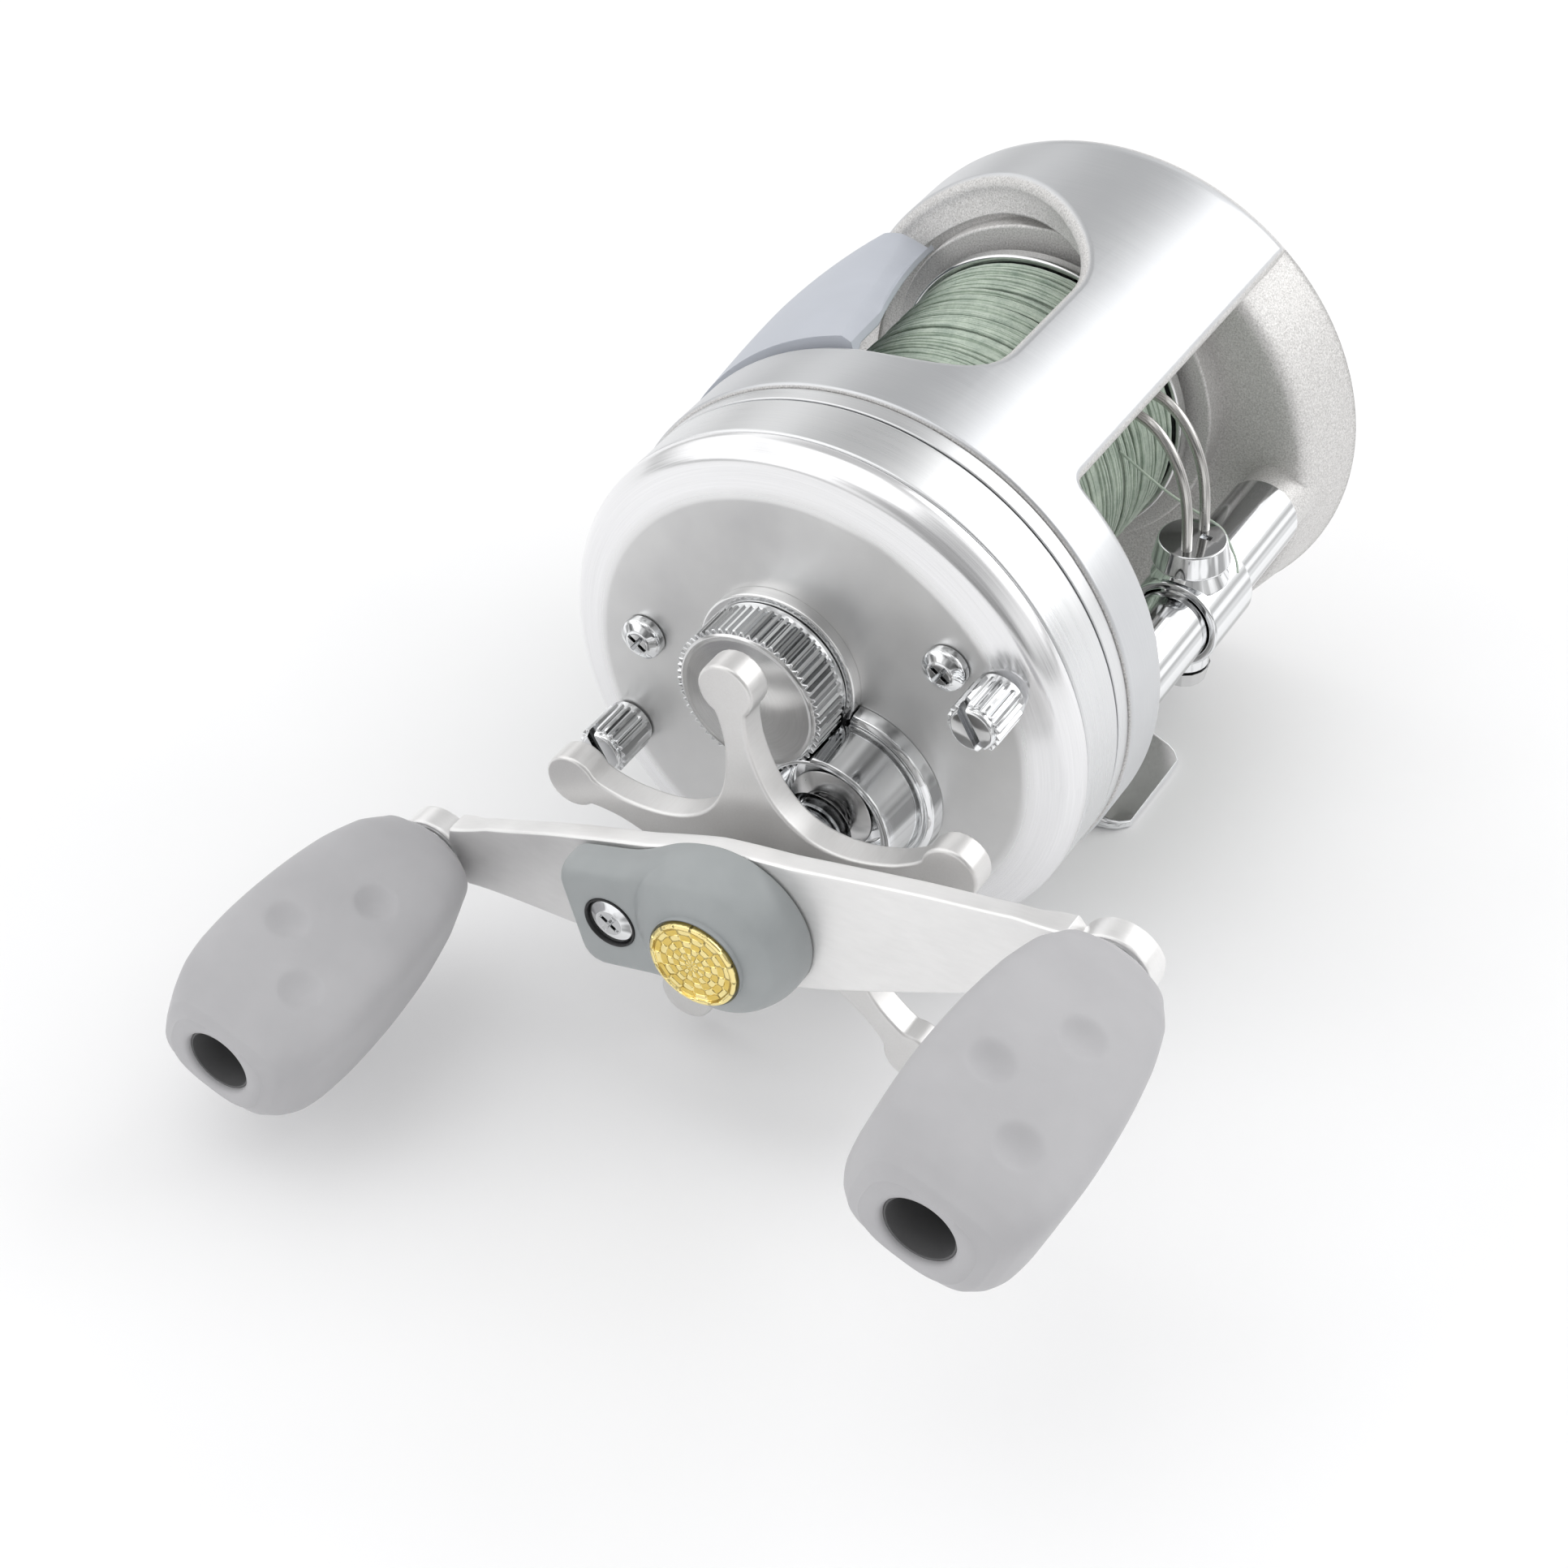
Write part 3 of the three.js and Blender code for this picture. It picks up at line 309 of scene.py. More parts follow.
def divided(outline, pattern, parts):
    """The outline with extra points along each side that is long in the pattern."""
    out = []
    for i, (a, b) in enumerate(outline):
        j = (i + 1) % len(outline)
        count = parts if math.dist(pattern[i], pattern[j]) > 3 else 1
        along, across = outline[j][0] - a, outline[j][1] - b
        out += [(a + along * k / count, b + across * k / count) for k in range(count)]
    return out


def plate(name, outline, x0, x1, edge, centre, steps=3, sharp=38):
    """Flat piece with the outline in (y, z) about a centre and rounded rims front and back."""
    levels = []
    for k in range(steps + 1):
        angle = math.pi / 2 * k / steps
        levels.append((x0 + edge * (1 - math.sin(angle)), edge * (1 - math.cos(angle))))
    levels = [(x0 + x1 - x, inward) for x, inward in levels][::-1] + levels
    levels.sort(key=lambda level: level[0])
    rings = []
    for x, inward in levels:
        rings.append([(x, centre[0] + y, centre[1] + z) for y, z in inset(outline, inward)])
    return loft(name, rings, sharp)


def block(name, x0, x1, y0, y1, z0, z1):
    ring = [(y0, z0), (y1, z0), (y1, z1), (y0, z1)]
    return loft(name, [[(x, y, z) for y, z in ring] for x in (x0, x1)])


def toothed(teeth, root, tip, share=0.5):
    outline = []
    for i in range(teeth):
        for radius, part in ((root, 0.0), (tip, 0.5 - share / 4), (tip, 0.5 + share / 4), (root, 1 - 0.12)):
            angle = 2 * math.pi * (i + part) / teeth
            outline.append((radius * math.cos(angle), radius * math.sin(angle)))
    return outline


def wire(name, points, radius, resolution=3, smooth=True):
    line = bpy.data.curves.new(name, "CURVE")
    line.dimensions = "3D"
    line.bevel_depth = radius * MM
    line.bevel_resolution = resolution
    line.use_fill_caps = True
    path = line.splines.new("NURBS" if smooth else "POLY")
    path.points.add(len(points) - 1)
    for place, (x, y, z) in zip(path.points, points):
        place.co = ((x + START) * MM, y * MM, z * MM, 1)
    if smooth:
        path.use_endpoint_u = True
        path.order_u = 4
        path.resolution_u = 8
    piece = bpy.data.objects.new(name, line)
    bpy.context.scene.collection.objects.link(piece)
    settled = bpy.data.meshes.new_from_object(piece.evaluated_get(bpy.context.evaluated_depsgraph_get()))
    bpy.data.objects.remove(piece)
    piece = bpy.data.objects.new(name, settled)
    bpy.context.scene.collection.objects.link(piece)
    clean(piece, 0.0)
    shade(piece, 50)
    return piece


def smooth_step(value, low, high):
    t = min(1.0, max(0.0, (value - low) / (high - low)))
    return t * t * (3 - 2 * t)


def through(stations, at):
    """Smooth value of each column of the stations at a place along their first column."""
    keys = [row[0] for row in stations]
    order = 1 if keys[-1] > keys[0] else -1
    i = 0
    while i < len(keys) - 2 and (at - keys[i + 1]) * order > 0:
        i += 1
    t = (at - keys[i]) / (keys[i + 1] - keys[i])
    before = stations[max(0, i - 1)]
    after = stations[min(len(stations) - 1, i + 2)]
    out = []
    for a, b, c, d in zip(before[1:], stations[i][1:], stations[i + 1][1:], after[1:]):
        out.append(0.5 * (2 * b + (c - a) * t + (2 * a - 5 * b + 4 * c - d) * t * t
                          + (3 * b - a - 3 * c + d) * t ** 3))
    return out


# ---------- materials ----------
def add_node(tree, kind, inputs=None, **settings):
    made = tree.nodes.new(kind)
    for key, value in settings.items():
        setattr(made, key, value)
    for key, value in (inputs or {}).items():
        if isinstance(value, bpy.types.NodeSocket):
            tree.links.new(value, made.inputs[key])
        else:
            made.inputs[key].default_value = value
    return made


def calc(tree, operation, a, b=0.0):
    return add_node(tree, "ShaderNodeMath", {0: a, 1: b}, operation=operation).outputs[0]


def blended(tree, a, b, share=0.5):
    """Both values added, a with this share and b with the rest."""
    return calc(tree, "ADD", calc(tree, "MULTIPLY", a, share), calc(tree, "MULTIPLY", b, 1 - share))


def mixed(tree, share, a, b, kind="FLOAT"):
    """a where share is 0 and b where it is 1."""
    order = ("FLOAT", "VECTOR", "RGBA").index(kind)
    inputs = {0: share, 2 + 2 * order: a, 3 + 2 * order: b}
    return add_node(tree, "ShaderNodeMix", inputs, data_type=kind).outputs[order]


def vector_of(tree, x, y, z):
    return add_node(tree, "ShaderNodeCombineXYZ", {0: x, 1: y, 2: z}).outputs[0]


def place_mm(tree):
    place = add_node(tree, "ShaderNodeTexCoord").outputs["Object"]
    scaled = add_node(tree, "ShaderNodeVectorMath", {0: place, 1: (1000, 1000, 1000)}, operation="MULTIPLY")
    return scaled.outputs[0]


def round_place(tree, centre):
    """x, radius and angle about an axis along X, in millimetres and radians."""
    split = add_node(tree, "ShaderNodeSeparateXYZ", {0: place_mm(tree)}).outputs
    y = calc(tree, "SUBTRACT", split[1], centre[0])
    z = calc(tree, "SUBTRACT", split[2], centre[1])
    radius = calc(tree, "SQRT", calc(tree, "ADD", calc(tree, "MULTIPLY", y, y), calc(tree, "MULTIPLY", z, z)))
    return split[0], radius, calc(tree, "ARCTAN2", z, y)


def noise(tree, vector, scale, detail=3.0, roughness=0.55):
    made = add_node(tree, "ShaderNodeTexNoise",
                    {"Vector": vector, "Scale": scale, "Detail": detail, "Roughness": roughness})
    return made.outputs["Fac"]


def spread(tree, value, low, high, start=0.3, stop=0.7):
    made = add_node(tree, "ShaderNodeMapRange", {0: value, 1: start, 2: stop, 3: low, 4: high})
    return made.outputs[0]


def tint(tree, value, dark, light, start=0.3, stop=0.7):
    ramp = add_node(tree, "ShaderNodeValToRGB", {0: value})
    ramp.color_ramp.elements[0].position = start
    ramp.color_ramp.elements[0].color = (*dark, 1)
    ramp.color_ramp.elements[1].position = stop
    ramp.color_ramp.elements[1].color = (*light, 1)
    return ramp.outputs[0]


def bump(tree, height, distance, strength=1.0, normal=None):
    inputs = {"Height": height, "Distance": distance * MM, "Strength": strength}
    if normal is not None:
        inputs["Normal"] = normal
    return add_node(tree, "ShaderNodeBump", inputs).outputs[0]


def blank(name):
    material = bpy.data.materials.new(name)
    material.use_nodes = True
    tree = material.node_tree
    tree.nodes.clear()
    shader = add_node(tree, "ShaderNodeBsdfPrincipled")
    output = add_node(tree, "ShaderNodeOutputMaterial")
    tree.links.new(shader.outputs[0], output.inputs[0])
    return material, tree, shader


def connect(tree, shader, **inputs):
    names = {"colour": "Base Color", "roughness": "Roughness", "metallic": "Metallic", "normal": "Normal",
             "anisotropy": "Anisotropic", "tangent": "Tangent", "sheen": "Sheen Weight",
             "specular": "Specular IOR Level"}
    for key, value in inputs.items():
        socket = shader.inputs[names[key]]
        if isinstance(value, bpy.types.NodeSocket):
            tree.links.new(value, socket)
        elif isinstance(value, tuple):
            socket.default_value = (*value, 1)
        else:
            socket.default_value = value


def edge_round(tree, radius):
    return add_node(tree, "ShaderNodeBevel", {"Radius": radius * MM}, samples=4).outputs[0]


def turned_rings(tree, place, grain, sweep):
    """Fine marks that run round an axis; place is its x, radius and angle."""
    x, radius, angle = place
    drawn_out = vector_of(tree, calc(tree, "MULTIPLY", x, grain), calc(tree, "MULTIPLY", radius, grain),
                          calc(tree, "MULTIPLY", angle, sweep))
    return noise(tree, drawn_out, 1.0, 4.0)


def round_tangent(tree):
    return add_node(tree, "ShaderNodeTangent", direction_type="RADIAL", axis="X").outputs[0]


def turned_metal(name, centre, dark, light, rough=(0.24, 0.36), depth=0.006, grain=9.0, anisotropy=0.55):
    """Metal turned or brushed round an axis: fine rings and soft tone changes."""
    material, tree, shader = blank(name)
    rings = turned_rings(tree, round_place(tree, centre), grain, 1.6)
    tone = blended(tree, rings, noise(tree, place_mm(tree), 0.12, 2.0))
    connect(tree, shader, colour=tint(tree, tone, dark, light), metallic=1.0,
            roughness=spread(tree, tone, *rough), anisotropy=anisotropy, tangent=round_tangent(tree),
            normal=bump(tree, rings, depth, 0.5, edge_round(tree, 0.12)))
    return material


def satin_metal(name, dark, light, rough=(0.3, 0.42), lay=(0.6, 5.0, 5.0)):
    """Fine satin aluminium with a faint lay and small dents in tone."""
    material, tree, shader = blank(name)
    place = place_mm(tree)
    stretched = add_node(tree, "ShaderNodeVectorMath", {0: place, 1: lay}, operation="MULTIPLY").outputs[0]
    lines = noise(tree, stretched, 1.0, 4.0)
    tone = blended(tree, lines, noise(tree, place, 0.15, 2.0), 0.4)
    connect(tree, shader, colour=tint(tree, tone, dark, light), metallic=0.7,
            roughness=spread(tree, tone, *rough),
            normal=bump(tree, lines, 0.004, 0.4, edge_round(tree, 0.1)))
    return material


def chrome(name, colour=(0.9, 0.91, 0.92), rough=(0.04, 0.1), reflection_contrast=0.4):
    """Bright plate with a painted reflection of a room of pale and dark shapes in its colour, and a film of
    handling marks.
    """
    material, tree, shader = blank(name)
    place = place_mm(tree)
    smear = noise(tree, place, 0.5, 4.0)
    ripple = noise(tree, place, 0.35, 1.0)
    # Painted reflection: noise on the reflection direction paints pale and dark shapes into the base colour.
    room = noise(tree, add_node(tree, "ShaderNodeTexCoord").outputs["Reflection"], 1.7, 2.0)
    dark = tuple(reflection_contrast * c for c in colour)
    connect(tree, shader, colour=tint(tree, room, dark, colour, 0.36, 0.5), metallic=1.0,
            roughness=spread(tree, smear, *rough),
            normal=bump(tree, ripple, 0.03, 0.3, edge_round(tree, 0.06)))
    return material


def plastic(name, dark, light, rough, grain, depth):
    """Moulded plastic with a fine spark-eroded grain."""
    material, tree, shader = blank(name)
    place = place_mm(tree)
    fine = noise(tree, place, grain, 2.0)
    cloud = noise(tree, place, 0.2, 3.0)
    connect(tree, shader, colour=tint(tree, cloud, dark, light), roughness=spread(tree, cloud, *rough),
            normal=bump(tree, fine, depth, 0.6, edge_round(tree, 0.15)))
    return material


def soft_rubber(name, dark, light):
    """Soft-touch grip: matt skin, fine grain, faint grey bloom."""
    material, tree, shader = blank(name)
    place = place_mm(tree)
    fine = noise(tree, place, 7.0, 2.0)
    cloud = noise(tree, place, 0.16, 3.0)
    connect(tree, shader, colour=tint(tree, cloud, dark, light), roughness=spread(tree, cloud, 0.62, 0.74),
            normal=bump(tree, fine, 0.012, 0.5), sheen=0.15, specular=0.35)
    return material


def frame_metal():
    """Brushed round the outside, bead-blasted inside and round the openings."""
    material, tree, shader = blank("frame_metal")
    round_about = round_place(tree, BODY)
    place = place_mm(tree)
    rings = turned_rings(tree, round_about, 16.0, 3.0)
    pits = noise(tree, place, 6.0, 3.0, 0.7)
    cloud = noise(tree, place, 0.1, 2.0)
    outside = spread(tree, round_about[1], 0.0, 1.0, BODY_R - 0.25, BODY_R - 0.08)
    bright = tint(tree, blended(tree, rings, cloud), (0.57, 0.58, 0.6), (0.67, 0.68, 0.69))
    matt = tint(tree, pits, (0.46, 0.45, 0.44), (0.86, 0.85, 0.84))
    edges = edge_round(tree, 0.2)
    brushed = bump(tree, rings, 0.003, 0.5, edges)
    rugged = bump(tree, pits, 0.08, 0.6, edges)
    connect(tree, shader, colour=mixed(tree, outside, matt, bright, "RGBA"),
            metallic=spread(tree, outside, 0.45, 0.95, 0.0, 1.0),
            roughness=mixed(tree, outside, 0.46, spread(tree, rings, 0.28, 0.34)),
            normal=mixed(tree, outside, rugged, brushed, "VECTOR"),
            anisotropy=calc(tree, "MULTIPLY", outside, 0.6), tangent=round_tangent(tree))
    return material


def braid(name, dark, light):
    """Braided line: plaited bump, pale sage strands with darker dips."""
    material, tree, shader = blank(name)
    place = place_mm(tree)
    plait = noise(tree, place, 4.5, 3.0)
    tone = blended(tree, plait, noise(tree, place, 0.7, 2.0), 0.4)
    connect(tree, shader, colour=tint(tree, tone, dark, light), roughness=0.5,
            normal=bump(tree, plait, 0.03, 0.5), sheen=0.3)
    return material


def struck_gold():
    """Gold plated disc struck with a plain rosette inside two rings."""
    material, tree, shader = blank("struck_gold")
    _, radius, angle = round_place(tree, DRIVE)
    petals = calc(tree, "SINE", calc(tree, "MULTIPLY", angle, 8.0))
    bands = calc(tree, "SINE", calc(tree, "MULTIPLY", radius, 5.2))
    rosette = calc(tree, "MULTIPLY", petals, bands)
    hammered = noise(tree, place_mm(tree), 1.6, 3.0)
    rim = spread(tree, radius, 0.0, 1.4, 3.45, 3.6)
    relief = spread(tree, rosette, 0.0, 1.0, -0.12, 0.3)
    height = calc(tree, "ADD", relief, calc(tree, "ADD", calc(tree, "MULTIPLY", hammered, 0.5), rim))
    gold = tint(tree, height, (0.8, 0.58, 0.14), (1.0, 0.84, 0.38), 0.2, 1.4)
    connect(tree, shader, colour=gold, metallic=1.0, roughness=0.22, normal=bump(tree, height, 0.2, 0.8))
    return material


WHITE_METAL = (0.78, 0.785, 0.79)
SLOT_MATERIALS = {
    "aluminium": turned_metal("turned_aluminium", BODY, (0.7, 0.71, 0.72), WHITE_METAL),
    "satin": satin_metal("satin_aluminium", (0.7, 0.69, 0.68), (0.78, 0.775, 0.77)),
    # Chrome, steel and brass carry a painted reflection in their colour.
    "chrome": chrome("chrome_plate"),
    "steel": chrome("bright_steel", (0.66, 0.66, 0.66), (0.16, 0.28), 0.6),
    "brass": chrome("machined_brass", (0.72, 0.52, 0.22), (0.2, 0.32), 0.7),
    "gold": struck_gold(),
    "bluegrey": plastic("matt_blue_grey", (0.44, 0.465, 0.52), (0.48, 0.505, 0.56), (0.36, 0.46), 6.0, 0.012),
    "coverplastic": plastic("satin_grey", (0.32, 0.34, 0.345), (0.36, 0.38, 0.385), (0.34, 0.42), 6.0, 0.01),
    "rubber": soft_rubber("soft_grip", (0.42, 0.417, 0.43), (0.46, 0.457, 0.47)),
    "fibre": plastic("friction_lining", (0.03, 0.028, 0.026), (0.06, 0.055, 0.05), (0.7, 0.85), 3.0, 0.05),
    "black": plastic("black_acetal", (0.012, 0.012, 0.013), (0.02, 0.02, 0.022), (0.4, 0.5), 5.0, 0.01),
    "bore": plastic("bore_plastic", (0.1, 0.1, 0.103), (0.13, 0.13, 0.133), (0.5, 0.6), 5.0, 0.01),
    "line": braid("braided_line", (0.33, 0.41, 0.34), (0.6, 0.68, 0.58)),
}
SLOT_OF = {row["node"]: row["material_slot"] for row in frame["record"]["subparts"]}
BODY_OF = {node: body for body, nodes in frame["record"]["behaviour"]["bodies"].items() for node in nodes}


def paint(piece, material):
    piece.data.materials.clear()
    piece.data.materials.append(material)


def stand_for(piece, *nodes, material=None, even=True):
    """The piece shows in place of these CAD nodes, rides on their body and takes their finish."""
    paint(piece, material or SLOT_MATERIALS[SLOT_OF[nodes[0]]])
    if even:
        weigh_normals(piece)
    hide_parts(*nodes)
    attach(piece, BODY_OF[nodes[0]])
    return piece


def go_with(piece, node, slot, material=None, even=True):
    """An extra piece that rides with a CAD node's body."""
    paint(piece, material or SLOT_MATERIALS[slot])
    if even:
        weigh_normals(piece)
    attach(piece, BODY_OF[node])
    return piece


# ---------- frame and side cover ----------
def far_wall_at(radius):
    """Where along x the far wall's inner side lies at this radius."""
    if radius <= FLARE[0][1]:
        return FLARE[0][0]
    for (x0, r0), (x1, r1) in zip(FLARE, FLARE[1:]):
        if radius <= r1:
            return x0 + (x1 - x0) * (radius - r0) / (r1 - r0)
    return FLARE[-1][0]


def frame_shell():
    """One-piece frame: brushed tube with two windows, a front opening and a dished far wall."""
    outer = [(0, 0), (0, BODY_R, 0.35), (FRAME_LENGTH, BODY_R, 2.8), (FRAME_LENGTH, 0)]
    inside = 22.0
    dish = [(x, r) for x, r in FLARE if r <= inside][::-1]
    hollow = [(NEAR_WALL, 0), (NEAR_WALL, inside)] + dish + [(DISH_X, 0)]
    shell = lathe("frame_shell", outer, BODY, 192, 0.35, steps=8)
    front_window, rear_window = window_cutter(131.3, 243), window_cutter(300, 350)
    tools = [lathe("hollow", hollow, BODY, 160), front_window, rear_window, thumb_opening(),
             lathe("spool_bore", [(-1, 0), (-1, 15.6), (6.5, 15.6), (6.5, 0)], SPOOL, 120)]
    combine(shell, tools, merge=0.03)
    low_z = corners("foot")[1].z + 0.02
    extras = [
        block("pad", 13, 32.4, BODY[0] - 9, BODY[0] + 9, low_z, BODY[1] - 21.6),
        lathe("plateau", [(DISH_X + 1, 0), (DISH_X + 1, 16.4), (FAR_WALL, 16.4, 0.3), (FAR_WALL, 0)], SPOOL,
              120, 0.3),
        lathe("worm_boss", [(DISH_X + 1, 0), (DISH_X + 1, 3.2), (36.2, 3.2, 0.2), (36.2, 0)], WORM, 64, 0.2),
    ]
    combine(shell, extras, "UNION", merge=0.03)
    combine(shell, [lathe("worm_bore", [(-1, 0), (-1, 3.75), (8, 3.75), (8, 0)], WORM, 48)], merge=0.03)
    return stand_for(shell, "frame", material=frame_metal())


def thumb_cutter(outline, wall, start_angle):
    """Cutter with rounded lips; wall is its inner rings, outline is (x, arc length) on the skin."""
    rings = list(wall)
    base = BODY_R - LIP

    def ring(radius, grow):
        grown = inset(outline, -grow)
        rings.append([(x, *turned_to(radius, start_angle + arc / BODY_R)) for x, arc in grown])

    for k in range(9):
        turn = math.radians(10 * k)
        ring(base + LIP * math.sin(turn), LIP * (1 - math.cos(turn)))
    ring(BODY_R + 0.55, LIP + 2.0)
    ring(BODY_R + 6, LIP + 2.0)
    middle_x = (min(x for x, arc in outline) + max(x for x, arc in outline)) / 2
    middle_arc = (min(arc for x, arc in outline) + max(arc for x, arc in outline)) / 2
    middle = start_angle + middle_arc / BODY_R
    return loft("thumb_cutter", rings, tips=[(middle_x, *turned_to(radius, middle)) for radius in (8, 75)])


def turned_to(radius, angle):
    return BODY[0] + radius * math.cos(angle), BODY[1] + radius * math.sin(angle)


def window_cutter(start, end):
    """Front or rear opening: softly rounded lips on three sides, the flared far wall on the fourth."""
    reach = math.radians(end - start) * BODY_R
    first = math.radians(start)
    base = BODY_R - LIP
    radii = [6.0] + [r for x, r in FLARE if r < base]
    radii += [base + LIP * math.sin(math.radians(10 * k)) for k in range(10)]
    rings = []
    pattern = None
    for radius in radii + [BODY_R + 0.55, BODY_R + 6]:
        rise = min(1.0, max(0.0, (radius - base) / LIP))
        grow = LIP * (1 - math.sqrt(1 - rise * rise)) + (2.0 if radius > BODY_R + 0.1 else 0.0)
        near, far = NEAR_WALL - grow, far_wall_at(radius)
        outline = rounded([(near, -grow, 1.0 + grow), (near, reach + grow, 1.0 + grow),
                           (far, reach + grow, 0), (far, -grow, 0)], 1.6, closed=True)
        pattern = pattern or outline
        outline = divided(outline, pattern, 48)
        rings.append([(x, *turned_to(radius, first + arc / BODY_R)) for x, arc in outline])
    middle = first + reach / 2 / BODY_R
    return loft("window_cutter", rings, tips=((20, *turned_to(3, middle)), (25, *turned_to(75, middle))))


def thumb_opening():
    """Window over the spool: straight near side, wide rounded far corner, cut in at 45 degrees."""
    near, far = NEAR_WALL + 1, 39.3
    low, top = -20.6, 20.5
    corner = 15
    flat = [(near, low)]
    flat += curve_points((near, top - 6), (near, top - 2), (near + 2, top), (near + 6, top), 8)
    for k in range(25):
        angle = math.pi / 2 * (1 - k / 24)
        flat.append((far - corner + corner * math.cos(angle), top - corner + corner * math.sin(angle)))
    flat.append((far, low))
    flat = divided(flat, flat, 30)
    base = BODY_R - LIP
    wall = []
    for radius, shrink in ((21.7, 0.7), (base - 0.6, 0.0)):
        wall.append([(x, *turned_to(radius, math.pi / 4 + math.asin(w / radius)))
                     for x, w in inset(flat, shrink)])
    outline = [(x, BODY_R * math.asin(w / base)) for x, w in flat]
    return thumb_cutter(outline, wall, math.pi / 4)


def side_cover():
    """Domed cover with a pocket for the drive shaft, and the turned seat of the tension cap."""
    outside = [(-7.1, 0), (-7.1, COVER_R, 0.25), (-8.0, COVER_R, 1.2), (-9.5, 23.7, 1.6),
               (COVER_FACE, 20.4, 2.2), (COVER_FACE, 0)]
    cover = lathe("cover_dome", outside, BODY, 192, 0.2, steps=6)
    pocket = lathe("shaft_pocket", [(-14, 0), (-14, 6.3), (-8, 6.3), (-8, 0)], DRIVE, 96)
    combine(cover, [pocket], merge=0.03)
    stand_for(cover, "side_cover", material=cover_metal())
    seat = [(COVER_FACE, 3.0), (COVER_FACE, 7.55, 0.05), (-11.7, 7.5, 0.25), (-11.7, 6.2), (-14, 5.2),
            (-14, 3.0)]
    metal = turned_metal("seat_metal", SPOOL, (0.7, 0.7, 0.7), (0.85, 0.85, 0.85), (0.12, 0.2), 0.003,
                         12.0, 0.3)
    go_with(lathe("cap_seat", seat, SPOOL, 128, 0.1), "side_cover", "chrome", metal)


def cover_metal():
    """Satin face, polished shoulder, brushed rim."""
    material, tree, shader = blank("cover_metal")
    round_about = round_place(tree, BODY)
    rings = turned_rings(tree, round_about, 9.0, 2.0)
    cloud = noise(tree, place_mm(tree), 0.12, 3.0)
    shoulder = spread(tree, round_about[1], 0.0, 1.0, 20.0, 21.4)
    face = tint(tree, cloud, (0.68, 0.68, 0.68), (0.76, 0.76, 0.755))
    polished = tint(tree, rings, (0.8, 0.8, 0.81), (0.88, 0.88, 0.89))
    rough = mixed(tree, shoulder, spread(tree, cloud, 0.34, 0.42), spread(tree, rings, 0.14, 0.22))
    connect(tree, shader, colour=mixed(tree, shoulder, face, polished, "RGBA"), metallic=0.85,
            roughness=rough, normal=bump(tree, rings, 0.004, 0.4, edge_round(tree, 0.12)),
            anisotropy=calc(tree, "MULTIPLY", shoulder, 0.5), tangent=round_tangent(tree))
    return material


def gear_housing():
    """The gear housing's band and the thin seam band between it and the frame."""
    ring = [(-7.0, 22.4), (-7.0, COVER_R, 0.3), (-1.8, COVER_R, 0.3), (-1.8, 22.4)]
    stand_for(lathe("gear_band", ring, BODY, 192, 0.1), "gear_ring")
    seam_r = COVER_R + 0.05
    disc = [(-1.72, 0), (-1.72, seam_r, 0.12), (-0.07, seam_r, 0.12), (-0.07, 0)]
    stand_for(lathe("seam_band", disc, BODY, 192, 0.1), "gear_plate")


def foot():
    """Chrome foot: a tapering plate with well rounded edges and a rounded nose."""
    low, high = corners("foot")
    stations = [(low.y, 5.2), (low.y + 1.0, 6.4), (low.y + 3.0, 7.0), (low.y + 10, 8.0), (low.y + 18, 8.2),
                (low.y + 30, 6.9), (high.y - 12, 6.4), (high.y - 2.6, 6.1), (high.y - 0.8, 5.2),
                (high.y, 3.8)]
    middle = (low.z + high.z - 0.02) / 2
    thick = (high.z - low.z - 0.04) / 2
    rings = []
    steps = 70
    for k in range(steps + 1):
        y = low.y + (high.y - low.y) * k / steps
        (half,) = through(stations, y)
        nose = min(y - low.y, high.y - y)
        tall = thick * (2.0 * smooth_step(nose, -5.0, 8.0) - 1.0)
        section = rounded([(-half, -thick), (half, -thick), (half, tall), (-half, tall)], 0.7, closed=True)
        rings.append([(FOOT_X + x, y, middle + z) for x, z in section])
    # The foot's chrome has a deeper painted reflection.
    stand_for(loft("foot_plate", rings, 45), "foot", material=chrome("foot_chrome", reflection_contrast=0.6))


# ---------- fixings ----------
def cross_screw(name, node, centre, head_x, radius, height):
    """Domed screw head with a tapering cross recess."""
    profile = [(head_x + height, 0), (head_x + height, radius, 0.1),
               (head_x + 0.4 * height, radius, 0.3 * radius), (head_x, 0.55 * radius, 0.8), (head_x, 0)]
    head = lathe(name, profile, centre, 72, 0.1, steps=6)
    arm, slot, depth = 0.66 * radius, 0.13 * radius, 0.75 * height
    turn = Matrix.Rotation(math.radians(35), 2)
    tools = []
    for wide, tall in ((arm, slot), (slot, arm)):
        slot_ends = ((-wide, -tall), (wide, -tall), (wide, tall), (-wide, tall))
        ring = [turn @ Vector(point) for point in slot_ends]
        levels = ((head_x - 1, 1.0), (head_x + depth, 0.5))
        tools.append(loft("recess", [[(x, centre[0] + share * p.x, centre[1] + share * p.y) for p in ring]
                                     for x, share in levels]))
    combine(head, tools, merge=0.01)
    soften(head, 0.05, 2)
    return stand_for(head, node)


